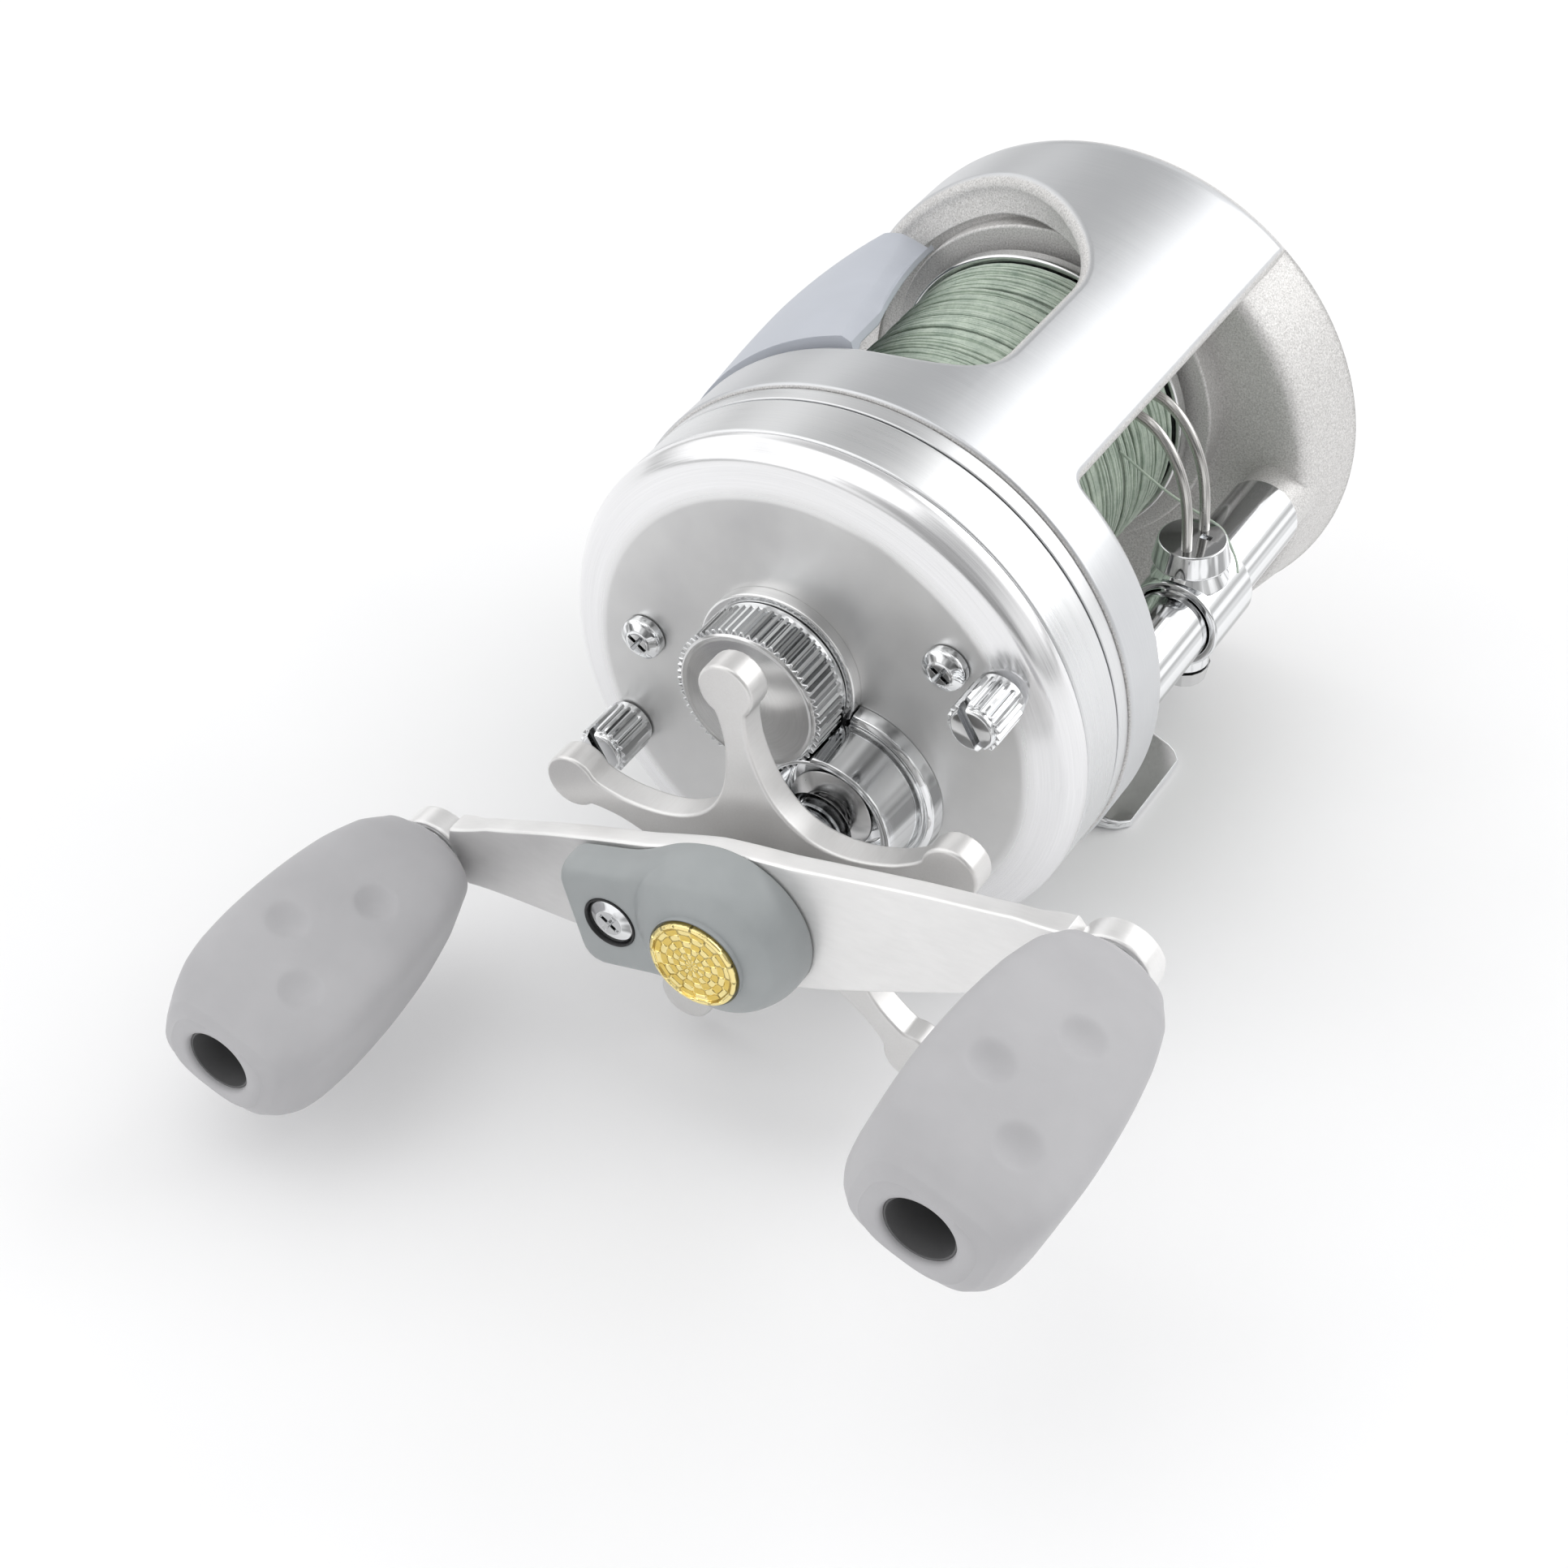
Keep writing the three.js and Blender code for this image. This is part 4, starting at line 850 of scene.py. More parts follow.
def thumb_screw(which):
    """Knurled take-down screw with a slot across its end."""
    centre = THUMB_SCREWS[which]
    node = f"thumb_screw_{which}"
    tip = x_span(node)[0]
    seat = COVER_FACE - 0.15
    screw = plate(f"{node}_head", toothed(20, 2.08, 2.36), tip + 0.45, seat - 0.55, 0.12, centre, 2)
    profile = [(tip, 0), (tip, 1.95, 0.3), (tip + 0.9, 2.1), (seat - 0.8, 2.12), (seat, 2.25, 0.15),
               (seat, 0)]
    combine(screw, [lathe("core", profile, centre, 60, 0.1)], "UNION", merge=0.01, sharp=30)
    lean = Matrix.Rotation(math.radians(62), 2)
    ring = [lean @ Vector(p) for p in ((-3, -0.42), (3, -0.42), (3, 0.42), (-3, 0.42))]
    levels = (tip - 1, tip + 1.3)
    slot = loft("slot", [[(x, centre[0] + p.x, centre[1] + p.y) for p in ring] for x in levels])
    combine(screw, [slot], merge=0.01, sharp=30)
    return stand_for(screw, node)


def tension_cap():
    """Knurled cap with a flat polished face and a plain skirt."""
    x0, x1 = x_span("tension_cap")
    teeth = toothed(60, CAP_R - 0.42, CAP_R, 0.62)
    stand_for(plate("cap_knurl", teeth, x0 + 0.2, x1 - 0.5, 0.1, SPOOL, 2, 22), "tension_cap")
    front = [(x0 + 1, 0), (x0 + 1, 6.5), (x0 + 0.2, 6.5, 0.1), (x0, 6.25, 0.15), (x0 + 0.12, 5.9, 0.1),
             (x0 + 0.12, 0)]
    metal = turned_metal("cap_face_metal", SPOOL, (0.55, 0.55, 0.55), (0.7, 0.7, 0.7), (0.1, 0.16), 0.003,
                         12.0, 0.4)
    go_with(lathe("cap_face", front, SPOOL, 128, 0.05), "tension_cap", "chrome", metal)
    skirt = [(x1 - 0.6, 5.6), (x1 - 0.6, CAP_R - 0.25), (x1, CAP_R - 0.05, 0.1), (x1, 5.6)]
    go_with(lathe("cap_skirt", skirt, SPOOL, 128, 0.05), "tension_cap", "chrome")


def boss():
    """Chrome boss round the drive shaft: a low ring and a thin cup, relieved beside the tension cap."""
    foot_x = COVER_FACE - 0.02
    collar = [(-9.2, 5.9), (-9.2, 6.2), (foot_x, 6.2), (foot_x, 8.3, 0.1), (-11.8, 8.1, 0.3),
              (-12.1, 7.6, 0.2), (-11.7, 7.05, 0.2), (-16.6, 6.6, 0.18), (-16.65, 6.05, 0.15), (-14.0, 5.9)]
    ring = lathe("boss_ring", collar, DRIVE, 144, 0.1)
    clear_seat = lathe("clear_seat", [(-12.1, 0), (-12.1, 7.65), (-8, 7.65), (-8, 0)], SPOOL, 96)
    clear_cap = lathe("clear_cap", [(-18, 0), (-18, 7.15), (-12, 7.15), (-12, 0)], SPOOL, 96)
    combine(ring, [clear_seat, clear_cap], merge=0.02)
    stand_for(ring, "shaft_collar")
    cup = [(-9.6, 3), (-9.6, 5.6, 0.2), (-14.5, 5.8), (-16.2, 5.85, 0.1), (-16.25, 5.5, 0.15),
           (-13.0, 4.9, 0.6), (-12.4, 3)]
    stand_for(lathe("spring_sleeve", cup, DRIVE, 128, 0.1), "spring_cup")
    low = x_span("drag_spring_washer")[0]
    washer = [(low, 2.3), (low + 0.7, 3.9), (low + 1.1, 3.9), (low + 0.4, 2.3)]
    stand_for(lathe("spring_washer", washer, DRIVE, 96, 0.1), "drag_spring_washer")


# ---------- drag star and handle ----------
def star():
    """Five arms with round tips, hollow curves between them, and a waisted hub."""
    arms, reach, tip, neck = 5, 19.0, 2.5, 1.15
    neck_r, pull, first = 14.0, 3.6, math.radians(81)
    outline = []
    for i in range(arms):
        here = first + 2 * math.pi * i / arms
        ahead = first + 2 * math.pi * (i + 1) / arms
        valley = (here + ahead) / 2

        def spot(along, side, direction):
            return (along * math.cos(direction) - side * math.sin(direction),
                    along * math.sin(direction) + side * math.cos(direction))

        def arc_point(turn):
            return (reach * math.cos(here) + tip * math.cos(here + turn),
                    reach * math.sin(here) + tip * math.sin(here + turn))

        half = 0.8 * math.pi
        outline += curve_points(spot(neck_r, -neck, here), spot(15.2, -neck, here),
                                spot(16.4, -neck - 0.1, here), arc_point(-half), 5)[:-1]
        outline += [arc_point(half * (2 * k / 20 - 1)) for k in range(21)]
        outline += curve_points(arc_point(half), spot(16.4, neck + 0.1, here), spot(15.2, neck, here),
                                spot(neck_r, neck, here), 5)[1:]
        start, stop = Vector(spot(neck_r, neck, here)), Vector(spot(neck_r, -neck, ahead))
        bend = Vector((pull * math.cos(valley), pull * math.sin(valley)))
        for k in range(1, 20):
            t = k / 20
            outline.append(tuple(start * (1 - t) ** 2 + bend * 2 * t * (1 - t) + stop * t * t))
    x0, x1 = x_span("star_drag")
    wheel = plate("star_arms", outline, x0, x0 + 2.6, 0.3, DRIVE, 3, 45)
    stand_for(wheel, "star_drag")
    hub = [(x0 + 2.3, 0), (x0 + 2.3, 4.4), (x0 + 3.0, 3.7, 0.5), (x0 + 5.2, 3.4, 0.8), (x1, 3.3, 0.2),
           (x1, 2.6, 0.2), (x1 - 2.0, 2.5, 0.1), (x1 - 2.0, 0)]
    go_with(lathe("star_hub", hub, DRIVE, 96, 0.2), "star_drag", "chrome")


def on_blade(along, side):
    c, s = math.cos(HANDLE_TILT), math.sin(HANDLE_TILT)
    return DRIVE[0] - along * c + side * s, DRIVE[1] + along * s + side * c


def blade():
    """Flat tapering arm, set back towards its ends, with thick round eyes."""
    front_x = x_span("handle_blade")[0]
    sweep, thick, eye = 1.4, 2.0, 3.4
    widths = [(0, 6.8), (9, 5.95), (18, 4.9), (26, 3.7), (30.2, 3.0)]
    length = HANDLE_REACH + eye
    rings = []
    steps = 150
    for k in range(steps + 1):
        along = length * math.sin(math.pi / 2 * (2 * k / steps - 1))
        out = abs(along)
        if out < 30.6:
            half = through(widths, out)[0]
        else:
            half = 0.0
        if out > 30.2:
            half = max(min(half, 3.4), math.sqrt(max(0.0, eye ** 2 - (out - HANDLE_REACH) ** 2)))
        half = max(half, 0.06)
        near = front_x + sweep * min(1.0, max(0.0, (out - 7) / 19))
        far = front_x + thick + sweep * min(1.0, max(0.0, (out - 7) / 20)) + 0.5 * smooth_step(out, 27, 29.4)
        edge = min(0.42, 0.9 * half)
        corners_here = [(near, half), (far, half), (far, -half), (near, -half)]
        section = rounded(corners_here, edge, closed=True, steps=3)
        rings.append([(x, *on_blade(along, side)) for x, side in section])
    lay = (5.0, 0.5, 2.0)
    stand_for(loft("blade_arm", rings, 30), "handle_blade",
              material=satin_metal("blade_metal", (0.82, 0.815, 0.81), (0.9, 0.895, 0.89), (0.3, 0.4), lay))


def cover_distance(along, side):
    """Signed distance to the outline of the nut cover: a disc blended with a rounded tab."""
    disc = math.hypot(along, side) - 7.4
    half_long, half_wide, corner = 7.0, 5.9 + 0.03 * along, 2.4
    dx = abs(along + 8.2) - half_long + corner
    dy = abs(side) - half_wide + corner
    tab = math.hypot(max(dx, 0), max(dy, 0)) + min(max(dx, dy), 0) - corner
    k = 3.0
    h = max(k - abs(disc - tab), 0) / k
    return min(disc, tab) - h * h * k / 4


def nut_cover():
    """Moulded cover over the handle nut: a dome that runs into a low tab, with a screw hole in the tab."""
    low, deep = x_span("nut_cover")
    tab_height, coin = 3.05, 4.2
    top = deep - low
    turns, rays = 160, 56
    edge = 1.3

    def height(along, side):
        radius = math.hypot(along, side)
        share = min(1.0, radius / 7.45)
        dome = 1.6 + (top - 1.6) * (1 - share ** 3) ** 0.6
        k = 2.6
        h = max(k - abs(dome - tab_height), 0) / k
        full = max(dome, tab_height) + h * h * k / 4 - 0.2
        inside = max(0.0, -cover_distance(along, side))
        rise = 1 - (1 - min(1.0, inside / edge)) ** 2
        return 0.9 + (min(full, top) - 0.9) * math.sqrt(max(0.0, rise))

    limits = []
    for k in range(turns):
        angle = 2 * math.pi * k / turns
        near, far = 3.0, 20.0
        for _ in range(40):
            here = (near + far) / 2
            if cover_distance(here * math.cos(angle), here * math.sin(angle)) < 0:
                near = here
            else:
                far = here
        limits.append(near)
    rings = []

    def ring_at(x_of, share_of):
        rings.append([])
        for k in range(turns):
            angle = 2 * math.pi * k / turns
            radius = share_of(limits[k])
            along, side = radius * math.cos(angle), radius * math.sin(angle)
            rings[-1].append((x_of(along, side), *on_blade(along, side)))

    ring_at(lambda a, s: deep, lambda limit: limit - 0.4)
    ring_at(lambda a, s: deep, lambda limit: limit)
    for k in range(rays + 1):
        t = (1 - k / rays) ** 0.6
        ring_at(lambda a, s: deep - height(a, s), lambda limit, t=t: coin + (limit - coin) * t)
    ring_at(lambda a, s: low + 0.12, lambda limit: coin)
    ring_at(lambda a, s: low + 0.5, lambda limit: coin - 0.1)
    cover = loft("nut_shroud", rings, 50)
    hole_r = 2.45
    hole = lathe("screw_hole", [(low - 1, 0), (low - 1, hole_r), (deep - 1.9, hole_r), (deep - 1.9, 0)],
                 NUT_SCREW, 64)
    combine(cover, [hole], merge=0.01, sharp=50)
    stand_for(cover, "nut_cover")
    # Black ring lining the screw hole: painted shadow round the screw head.
    ring = [(deep - 2.0, 1.9), (deep - 2.0, 2.42), (deep - 3.12, 2.42), (deep - 3.12, 2.26),
            (deep - 2.4, 2.2), (deep - 2.4, 1.9)]
    go_with(lathe("screw_shadow_ring", ring, NUT_SCREW, 64, 0.04), "nut_cover", "black")


def medallion():
    """Gold coin with a raised rim and a domed rosette."""
    low, high = x_span("medallion")
    profile = [(high, 0), (high, 4.0), (low + 0.1, 4.02, 0.15), (low, 3.75, 0.1), (low + 0.16, 3.5, 0.1),
               (low + 0.16, 2.4), (low + 0.08, 1.2), (low + 0.05, 0)]
    stand_for(lathe("coin", profile, DRIVE, 128, 0.1), "medallion")


def posts():
    """Pins that the grips turn on, each with a thin ring under the grip."""
    for name, node, centre in (("post_front", "knob_post_front", FRONT_POST),
                               ("post_rear", "knob_post_rear", REAR_POST)):
        x0, x1 = x_span(node)
        ring = KNOB_START + 0.05
        profile = [(x0, 0), (x0, 2.0, 0.2), (x0 + 1.6, 1.9), (ring, 1.9, 0.1), (ring, 2.9, 0.1),
                   (ring + 0.35, 2.9, 0.1), (ring + 0.4, 2.0, 0.1), (x1, 2.3, 0.5), (x1, 0)]
        stand_for(lathe(name, profile, centre, 64, 0.1), node)


def knob(name, node, centre):
    """Paddle grip: soft squarish sections, three shallow thumb dimples a side, open bore at the end."""
    end = x_span(node)[0]
    start, bore = KNOB_START, KNOB_BORE
    stations = [(start, 3.3, 3.1, 2.0), (start - 0.3, 4.1, 3.7, 2.2), (start - 1.2, 4.95, 4.4, 2.8),
                (start - 4.0, 5.95, 5.15, 4.4), (start - 8.0, 6.75, 5.7, 5.8), (start - 13.0, 7.3, 5.95, 6.6),
                (start - 18.5, 7.55, 6.0, 6.6), (start - 22.6, 7.4, 5.9, 6.2), (start - 24.8, 7.05, 5.6, 5.6),
                (start - 26.6, 6.4, 5.0, 4.6), (start - 28.0, 5.5, 4.3, 3.6), (end, 4.5, 3.7, 2.8)]
    dimples = [(-46.6, 2.8), (-40.0, -1.3), (-51.0, -2.1)]
    dimple_r = 1.95
    face = Vector((0, math.cos(KNOB_FACING), math.sin(KNOB_FACING)))
    wide = Vector((0, math.sin(KNOB_FACING), -math.cos(KNOB_FACING)))
    around, steps = 200, 150
    rings = []

    def ring(x, half_wide, half_deep, power):
        out = []
        for k in range(around):
            angle = 2 * math.pi * k / around
            c, s = math.cos(angle), math.sin(angle)
            reach = ((abs(c) / half_wide) ** power + (abs(s) / half_deep) ** power) ** (-1 / power)
            w, d = reach * c, reach * s
            for dip_x, dip_w in dimples:
                away = math.hypot(x - dip_x, w - dip_w) / dimple_r
                if away < 1 and abs(d) > 3:
                    d -= math.copysign(0.75 * (1 - away * away) ** 1.3, d)
            place = face * d + wide * w
            out.append((x, centre[0] + place.y, centre[1] + place.z))
        return out

    rings.append(ring(start, 2.4, 2.3, 2.0))
    for k in range(steps + 1):
        t = k / steps
        x = start + (end - start) * (0.5 - 0.5 * math.cos(math.pi * t))
        rings.append(ring(x, *through(stations, x)))
    for inwards, wider in ((0, 0.5), (0.08, 0.15), (0.4, 0), (12, -0.1)):
        rings.append(ring(end + inwards, bore + wider, bore + wider, 2.0))
    stand_for(loft(name, rings, 60), node)
    bottom = end + 11.9
    lining = [(end + 0.5, bore - 0.02), (end + 0.5, bore - 0.2), (bottom, bore - 0.25), (bottom, bore - 0.02)]
    deep = SLOT_MATERIALS["bore"]
    go_with(lathe(f"{name}_bore", lining, centre, 64), node, "black", material=deep)
    floor_disc = [(end + 11.6, 0), (end + 11.6, bore - 0.3), (bottom, bore - 0.3), (bottom, 0)]
    go_with(lathe(f"{name}_bore_end", floor_disc, centre, 48), node, "black", material=deep)


# ---------- spool and line ----------
def spool():
    """Polished spool: two thin flanges on a hollow barrel."""
    x0, x1 = x_span("spool")
    inner = x0 + 1.1
    half = [(x0, 1.8), (x0, 12.6), (x0, SPOOL_R, 0.3), (inner + 0.5, SPOOL_R, 0.3),
            (inner, SPOOL_R - 1.0, 0.3), (inner, 6.6, 0.3)]
    other = [(x0 + x1 - p[0], *p[1:]) for p in half][::-1]
    metal = turned_metal("spool_metal", SPOOL, (0.74, 0.74, 0.74), (0.88, 0.88, 0.88), (0.08, 0.16), 0.003,
                         12.0, 0.3)
    stand_for(lathe("spool_body", half + other, SPOOL, 160, 0.2), "spool", material=metal)


def line_windings():
    """Braid wound to and fro: near-parallel turns with a few crossing passes over a core painted near black
    as shade between the turns.
    """
    low, high = x_span("line_pack")
    core_r, strand = 13.45, 0.165
    core = [(low, 6.8), (low, core_r - 0.1, 0.4), (high, core_r - 0.1, 0.4), (high, 6.8)]
    # The core is the same braid painted near black: painted shade between the turns.
    dark = braid("line_core_braid", (0.02, 0.03, 0.023), (0.06, 0.085, 0.065))
    stand_for(lathe("line_core", core, SPOOL, 128, 0.2), "line_pack", material=dark)
    luck = random.Random(11)
    per_turn = 60
    points = []
    angle = 0.0
    passes = [0.37, 0.62, 0.9, 1.3, 1.7, 1.25]
    for layer, pitch in enumerate(passes):
        span = high - low - 0.5
        count = int(span / pitch * per_turn)
        wander = [luck.uniform(0, 6.28) for _ in range(4)]
        lift = core_r + 0.1 + 0.07 * layer
        for k in range(count):
            t = k / count
            share = t if layer % 2 == 0 else 1 - t
            x = low + 0.25 + span * share
            loose = min(1.0, 6 * share, 6 * (1 - share))
            sway = 0.14 * math.sin(angle * 0.43 + wander[0]) + 0.1 * math.sin(angle * 1.07 + wander[1])
            x += loose * sway
            radius = lift + 0.06 * math.sin(angle * 0.61 + wander[2])
            radius += 0.03 * math.sin(angle * 1.9 + wander[3])
            points.append((x, SPOOL[0] + radius * math.cos(angle), SPOOL[1] + radius * math.sin(angle)))
            angle += 2 * math.pi / per_turn
    windings = wire("line_turns", points, strand, 1, smooth=False)
    go_with(windings, "line_pack", "line", even=False)


# ---------- level wind ----------
def level_wind():
    """Slotted guard tube, the carriage that runs on it, and the cap that holds the wires."""
    x0 = x_span("level_wind_tube")[0]
    tube = [(x0, 2.75), (x0, 3.5, 0.15), (GUARD_END, 3.5, 0.15), (GUARD_END, 3.25)]
    guard = lathe("guide_tube", tube, WORM, 96, 0.1)
    slot = block("slot", 8, 34, WORM[0] - 0.9, WORM[0] + 0.9, WORM[1] - 5, WORM[1])
    combine(guard, [slot], merge=0.02)
    stand_for(guard, "level_wind_tube")
    low, high = x_span("carriage")
    sleeve = [(low, 3.62), (low, 4.3, 0.25), (high, 4.3, 0.25), (high, 3.62)]
    carriage = lathe("carriage_sleeve", sleeve, WORM, 96, 0.1)
    top = WORM[1] + 4.95
    base = WORM[1] + 3.3
    neck_profile = [(base, 0), (base, 3.5), (top - 0.4, 2.7, 0.3), (top, 2.6, 0.1), (top, 0)]
    neck = lathe("neck", neck_profile, (GUIDE_X, WORM[0]), 72, 0.1, axis="Z")
    lower_profile = [(WORM[1] - 6, 0), (WORM[1] - 6, 2.3, 0.2), (WORM[1] - 3.4, 2.3), (WORM[1] - 3.4, 0)]
    lower = lathe("lower", lower_profile, (GUIDE_X, WORM[0]), 72, 0.1, axis="Z")
    combine(carriage, [neck, lower], "UNION", merge=0.02)
    soften(carriage, 0.15)
    stand_for(carriage, "carriage")
    z0 = corners("guide_cap")[0].z
    cap = [(z0, 0), (z0, 3.5, 0.25), (z0 + 2.2, 3.0, 0.2), (z0 + 2.2, 0)]
    crown = lathe("guide_crown", cap, (GUIDE_X, WORM[0]), 96, 0.1, steps=6, axis="Z")
    slot = block("crown_slot", GUIDE_X + 0.35, GUIDE_X + 1.0, WORM[0] - 1.5, WORM[0] - 0.5, z0 + 1.6, z0 + 3)
    combine(crown, [slot], merge=0.01)
    stand_for(crown, "guide_cap")
    wires(z0 + 1.2)


def wires(foot_z):
    """Two steel wires rising from the cap and leaning back over the spool to a closed bend."""
    half = 1.75
    y = WORM[0] - 0.3
    rise = [(0, y, foot_z), (0, y + 0.05, foot_z + 2.4), (0.05, y + 0.2, foot_z + 5.2),
            (0.2, y + 1.0, foot_z + 8.2), (0.6, y + 2.7, foot_z + 10.8), (1.1, y + 5.0, foot_z + 12.2),
            (1.6, y + 7.2, foot_z + 12.1)]
    points = [(GUIDE_X - half + lean, y_here, z_here) for lean, y_here, z_here in rise]
    points.append((GUIDE_X + 1.7, y + 8.8, foot_z + 11.8))
    points += [(GUIDE_X + half + lean, y_here, z_here) for lean, y_here, z_here in rise[::-1]]
    # The wire steel carries a painted reflection in its colour.
    steel = chrome("wire_steel", (0.6, 0.59, 0.57), (0.2, 0.3), 0.5)
    stand_for(wire("guide_wires", points, 0.48, 5), "line_guide", material=steel, even=False)


def free_strand():
    """The line's last run, from the top of the windings to the guide."""
    begin = Vector((25.0, SPOOL[0] - 13.15, SPOOL[1] + 4.35))
    finish = Vector((GUIDE_X + 2.7, WORM[0] - 0.9, corners("guide_cap")[1].z + 0.15))
    points = []
    steps = 24
    for k in range(steps + 1):
        t = k / steps
        spot = begin.lerp(finish, t)
        spot.z -= 0.5 * math.sin(math.pi * t)
        points.append(tuple(spot))
    down = finish.z
    points += [(GUIDE_X + 3.3, WORM[0] - 1.5, down - 0.9), (GUIDE_X + 3.7, WORM[0] - 1.9, down - 2.4),
               (GUIDE_X + 2.9, WORM[0] - 3.2, down - 3.4), (GUIDE_X + 1.0, WORM[0] - 4.0, down - 3.0)]
    strand = wire("free_strand", points, 0.12, 2)
    paint(strand, SLOT_MATERIALS["line"])
    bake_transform(strand)


# ---------- thumb bar ----------
def clear_of_spool(angle):
    """Least radius at which the pressed bar's underside still clears the spool's flange."""
    low, high = corners("spool")
    reach = (high.z - low.z) / 2 + 0.4
    y, z = BODY[0] - SPOOL[0], BODY[1] - SPOOL[1] - BAR_PRESS
    along = y * math.cos(angle) + z * math.sin(angle)
    return math.sqrt(along ** 2 - y ** 2 - z ** 2 + reach ** 2) - along


def thumb_bar():
    """Bar over the spool: crowned along its length, with a slanted front edge that falls away."""
    near, far = x_span("thumb_bar")
    x0, x1 = near + 0.3, far - 0.6
    thick = 2.4
    back, near_front, far_front = 12, 76, 47
    columns, steps = 40, 80
    rings = []
    for k in range(steps + 1):
        t = 1 - (1 - k / steps) ** 1.6
        top, under = [], []
        for i in range(columns + 1):
            u = i / columns
            x = x0 + (x1 - x0) * u
            front = near_front + (far_front - near_front) * u
            angle = math.radians(back + (front - back) * t)
            crown = 25.3 + math.sin(0.9 * math.pi * u) - 0.5 * u ** 6
            to_front = (math.radians(front) - angle) * BODY_R
            edge = 21.75 / math.cos(math.radians(front - 45))
            share = max(0.0, 1 - to_front / (13.0 - 9.0 * u * u)) ** 1.3
            step = (0.6 + 0.9 * u) * max(0.0, 1 - to_front / (0.8 + 1.3 * u))
            outer = crown + (edge - crown) * share - step
            inner = max(clear_of_spool(angle), min(crown - thick, outer - 0.8))
            top.append((x, *turned_to(max(outer, inner + 0.5), angle)))
            under.append((x, *turned_to(inner, angle)))
        rings.append(top + under[::-1])
    bar = loft("thumb_rest", rings, 30)
    soften(bar, 0.25, 2, 40)
    stand_for(bar, "thumb_bar")


# ---------- stage ----------
def floor():
    """Pale paper that turns to an even glow far out, so that it meets the tent without a horizon."""
    size = 12.0
    mesh = bpy.data.meshes.new("floor")
    sides = [(-size, -size, 0), (size, -size, 0), (size, size, 0), (-size, size, 0)]
    mesh.from_pydata(sides, [], [[0, 1, 2, 3]])
    ground = bpy.data.objects.new("floor", mesh)
    bpy.context.scene.collection.objects.link(ground)
    material, tree, shader = blank("pale_floor")
    place = place_mm(tree)
    away = add_node(tree, "ShaderNodeVectorMath", {0: place}, operation="LENGTH").outputs["Value"]
    far = spread(tree, away, 0.0, 1.0, 260.0, 620.0)
    sheet = tint(tree, noise(tree, place, 0.02, 2.0), (0.9, 0.9, 0.905), (0.93, 0.93, 0.935))
    colour = mixed(tree, far, sheet, (0, 0, 0, 1), "RGBA")
    connect(tree, shader, colour=colour, roughness=0.7, specular=0.1)
    shader.inputs["Emission Color"].default_value = (1, 1, 1, 1)
    tree.links.new(calc(tree, "MULTIPLY", far, 0.97), shader.inputs["Emission Strength"])
    paint(ground, material)
    rest_on(ground)


def rest_on(ground):
    """Keeps the floor under whichever is lowest: the foot, or a grip of the turned handle."""
    clearance = 8.2 * MM
    names = []
    fit = ground.driver_add("location", 2).driver
    fit.type = "SCRIPTED"
    for i, centre in enumerate((FRONT_POST, REAR_POST)):
        marker = bpy.data.objects.new(f"grip_level_{i}", None)
        marker.location = (-0.07, centre[0] * MM, centre[1] * MM)
        bpy.context.scene.collection.objects.link(marker)
        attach(marker, "handle")
        level = fit.variables.new()
        level.name = f"level{i}"
        level.type = "TRANSFORMS"
        level.targets[0].id = marker
        level.targets[0].transform_type = "LOC_Z"
        level.targets[0].transform_space = "WORLD_SPACE"
        names.append(level.name)
    fit.expression = f"min(0, {names[0]} - {clearance}, {names[1]} - {clearance}) - 0.0001"


def area_light(name, place, target, size, power):
    data = bpy.data.lights.new(name, "AREA")
    data.shape = "RECTANGLE"
    data.size, data.size_y = size
    data.energy = power
    lamp = bpy.data.objects.new(name, data)
    lamp.location = place
    lamp.rotation_euler = (Vector(target) - Vector(place)).to_track_quat("-Z", "Y").to_euler()
    bpy.context.scene.collection.objects.link(lamp)


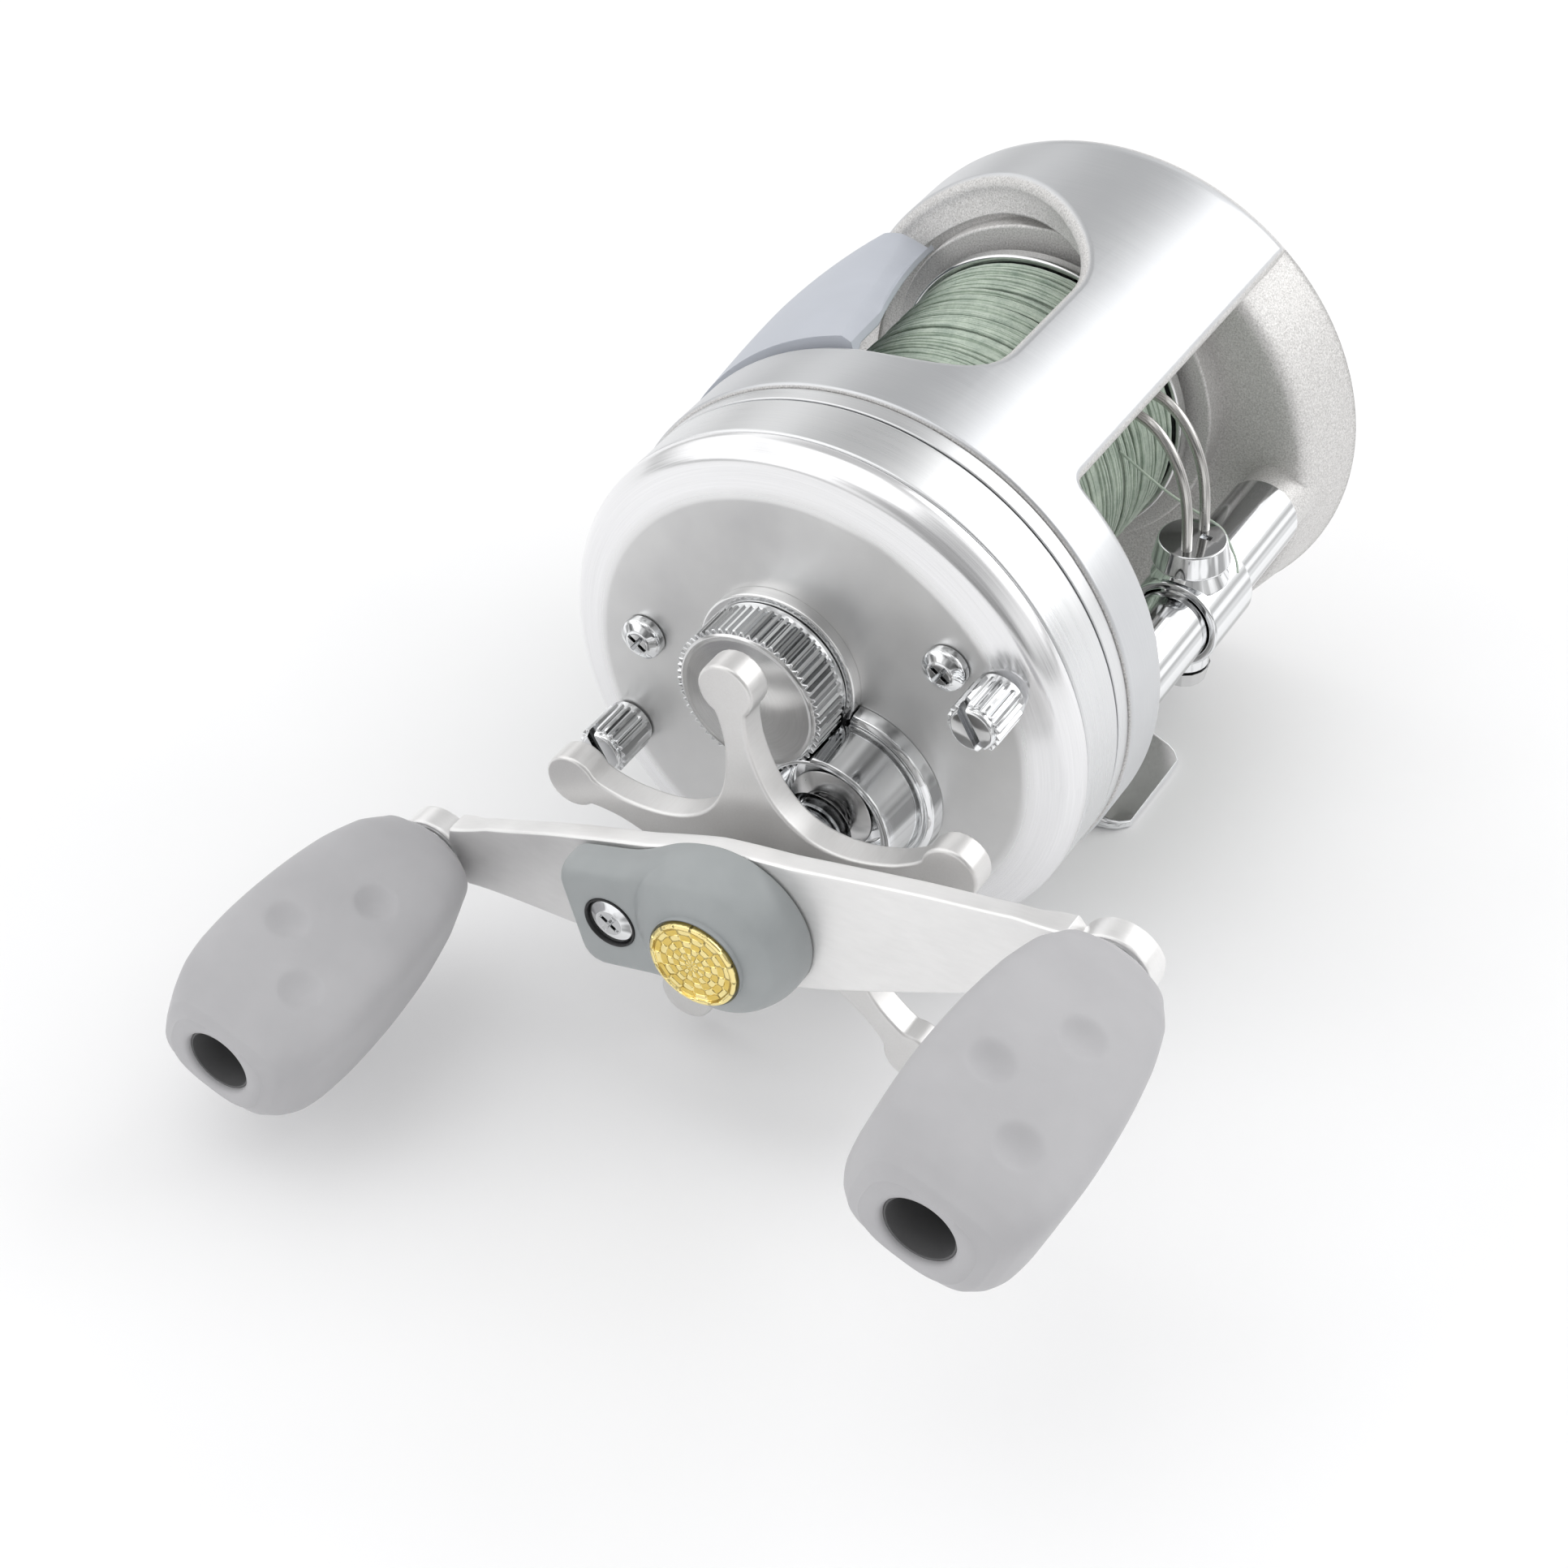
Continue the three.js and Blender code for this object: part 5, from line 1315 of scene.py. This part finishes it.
def world():
    """White tent: even for diffuse light, with a dark side towards the viewer for what metal mirrors."""
    made = bpy.data.worlds.new("tent")
    bpy.context.scene.world = made
    made.use_nodes = True
    tree = made.node_tree
    tree.nodes.clear()
    direction = add_node(tree, "ShaderNodeTexCoord").outputs["Generated"]
    patches = spread(tree, noise(tree, direction, 1.6, 1.0, 0.4), 0.95, 1.3, 0.38, 0.62)
    up = add_node(tree, "ShaderNodeSeparateXYZ", {0: direction}).outputs[2]
    horizon = spread(tree, calc(tree, "ABSOLUTE", calc(tree, "SUBTRACT", up, 0.08)), 0.45, 1.0, 0.02, 0.22)

    def dark_spot(middle, low, start, stop):
        """1 away from this direction, falling to low round it."""
        facing = add_node(tree, "ShaderNodeVectorMath", {0: direction, 1: middle}, operation="DOT_PRODUCT")
        return spread(tree, facing.outputs["Value"], 1.0, low, start, stop)

    viewer = dark_spot((-0.74, -0.42, 0.52), 0.3, 0.72, 0.92)
    ceiling = dark_spot((0.62, 0.18, 0.76), 0.55, 0.8, 0.96)
    room = calc(tree, "MULTIPLY", calc(tree, "MULTIPLY", patches, horizon), viewer)
    mirrored = calc(tree, "MULTIPLY", room, ceiling)
    path = add_node(tree, "ShaderNodeLightPath").outputs
    seen = mixed(tree, path["Is Camera Ray"], mixed(tree, path["Is Glossy Ray"], 0.9, mirrored), 0.97)
    back = add_node(tree, "ShaderNodeBackground", {"Color": (1, 1, 1, 1), "Strength": seen})
    output = add_node(tree, "ShaderNodeOutputWorld")
    tree.links.new(back.outputs[0], output.inputs[0])


def lights():
    aim = (-0.02, -0.01, 0.02)
    area_light("key_softbox", (0.75, -0.6, 0.65), aim, (1.0, 0.8), 3.9)
    area_light("top_softbox", (-0.1, 0.15, 0.7), aim, (0.6, 0.6), 0.6)
    area_light("left_softbox", (-0.5, 0.45, 0.4), aim, (0.5, 0.5), 0.5)


def camera():
    """Viewpoint from the handle end, ahead of the reel and above it."""
    data = bpy.data.cameras.new("camera")
    data.sensor_width = 36.0
    data.lens = 68.2
    data.clip_start, data.clip_end = 0.01, 20
    eye = bpy.data.objects.new("camera", data)
    bpy.context.scene.collection.objects.link(eye)
    place = Vector((-0.19591, -0.1126, 0.18507))
    aim = Vector((-0.0337, -0.008, 0.0184))
    eye.location = place
    lean = math.radians(2.15)
    level = (aim - place).to_track_quat("-Z", "Y").to_matrix()
    eye.rotation_euler = (level @ Matrix.Rotation(-lean, 3, "Z")).to_euler()
    bpy.context.scene.camera = eye


# ---------- everything ----------
for node_name, node_object in frame["nodes"].items():
    paint(node_object, SLOT_MATERIALS[SLOT_OF[node_name]])

frame_shell()
side_cover()
gear_housing()
foot()
for which in ("front", "rear"):
    node = f"cover_screw_{which}"
    cross_screw(f"{node}_head", node, COVER_SCREWS[which], -12.0, 2.0, 1.4)
    thumb_screw(which)
cross_screw("nut_screw_head", "nut_cover_screw", NUT_SCREW, x_span("nut_cover_screw")[0], 2.2, 0.8)
tension_cap()
boss()
star()
blade()
nut_cover()
medallion()
posts()
knob("grip_front", "knob_front", FRONT_POST)
knob("grip_rear", "knob_rear", REAR_POST)
spool()
line_windings()
level_wind()
free_strand()
thumb_bar()

floor()
world()
lights()
camera()
bpy.context.scene.view_settings.view_transform = "Standard"
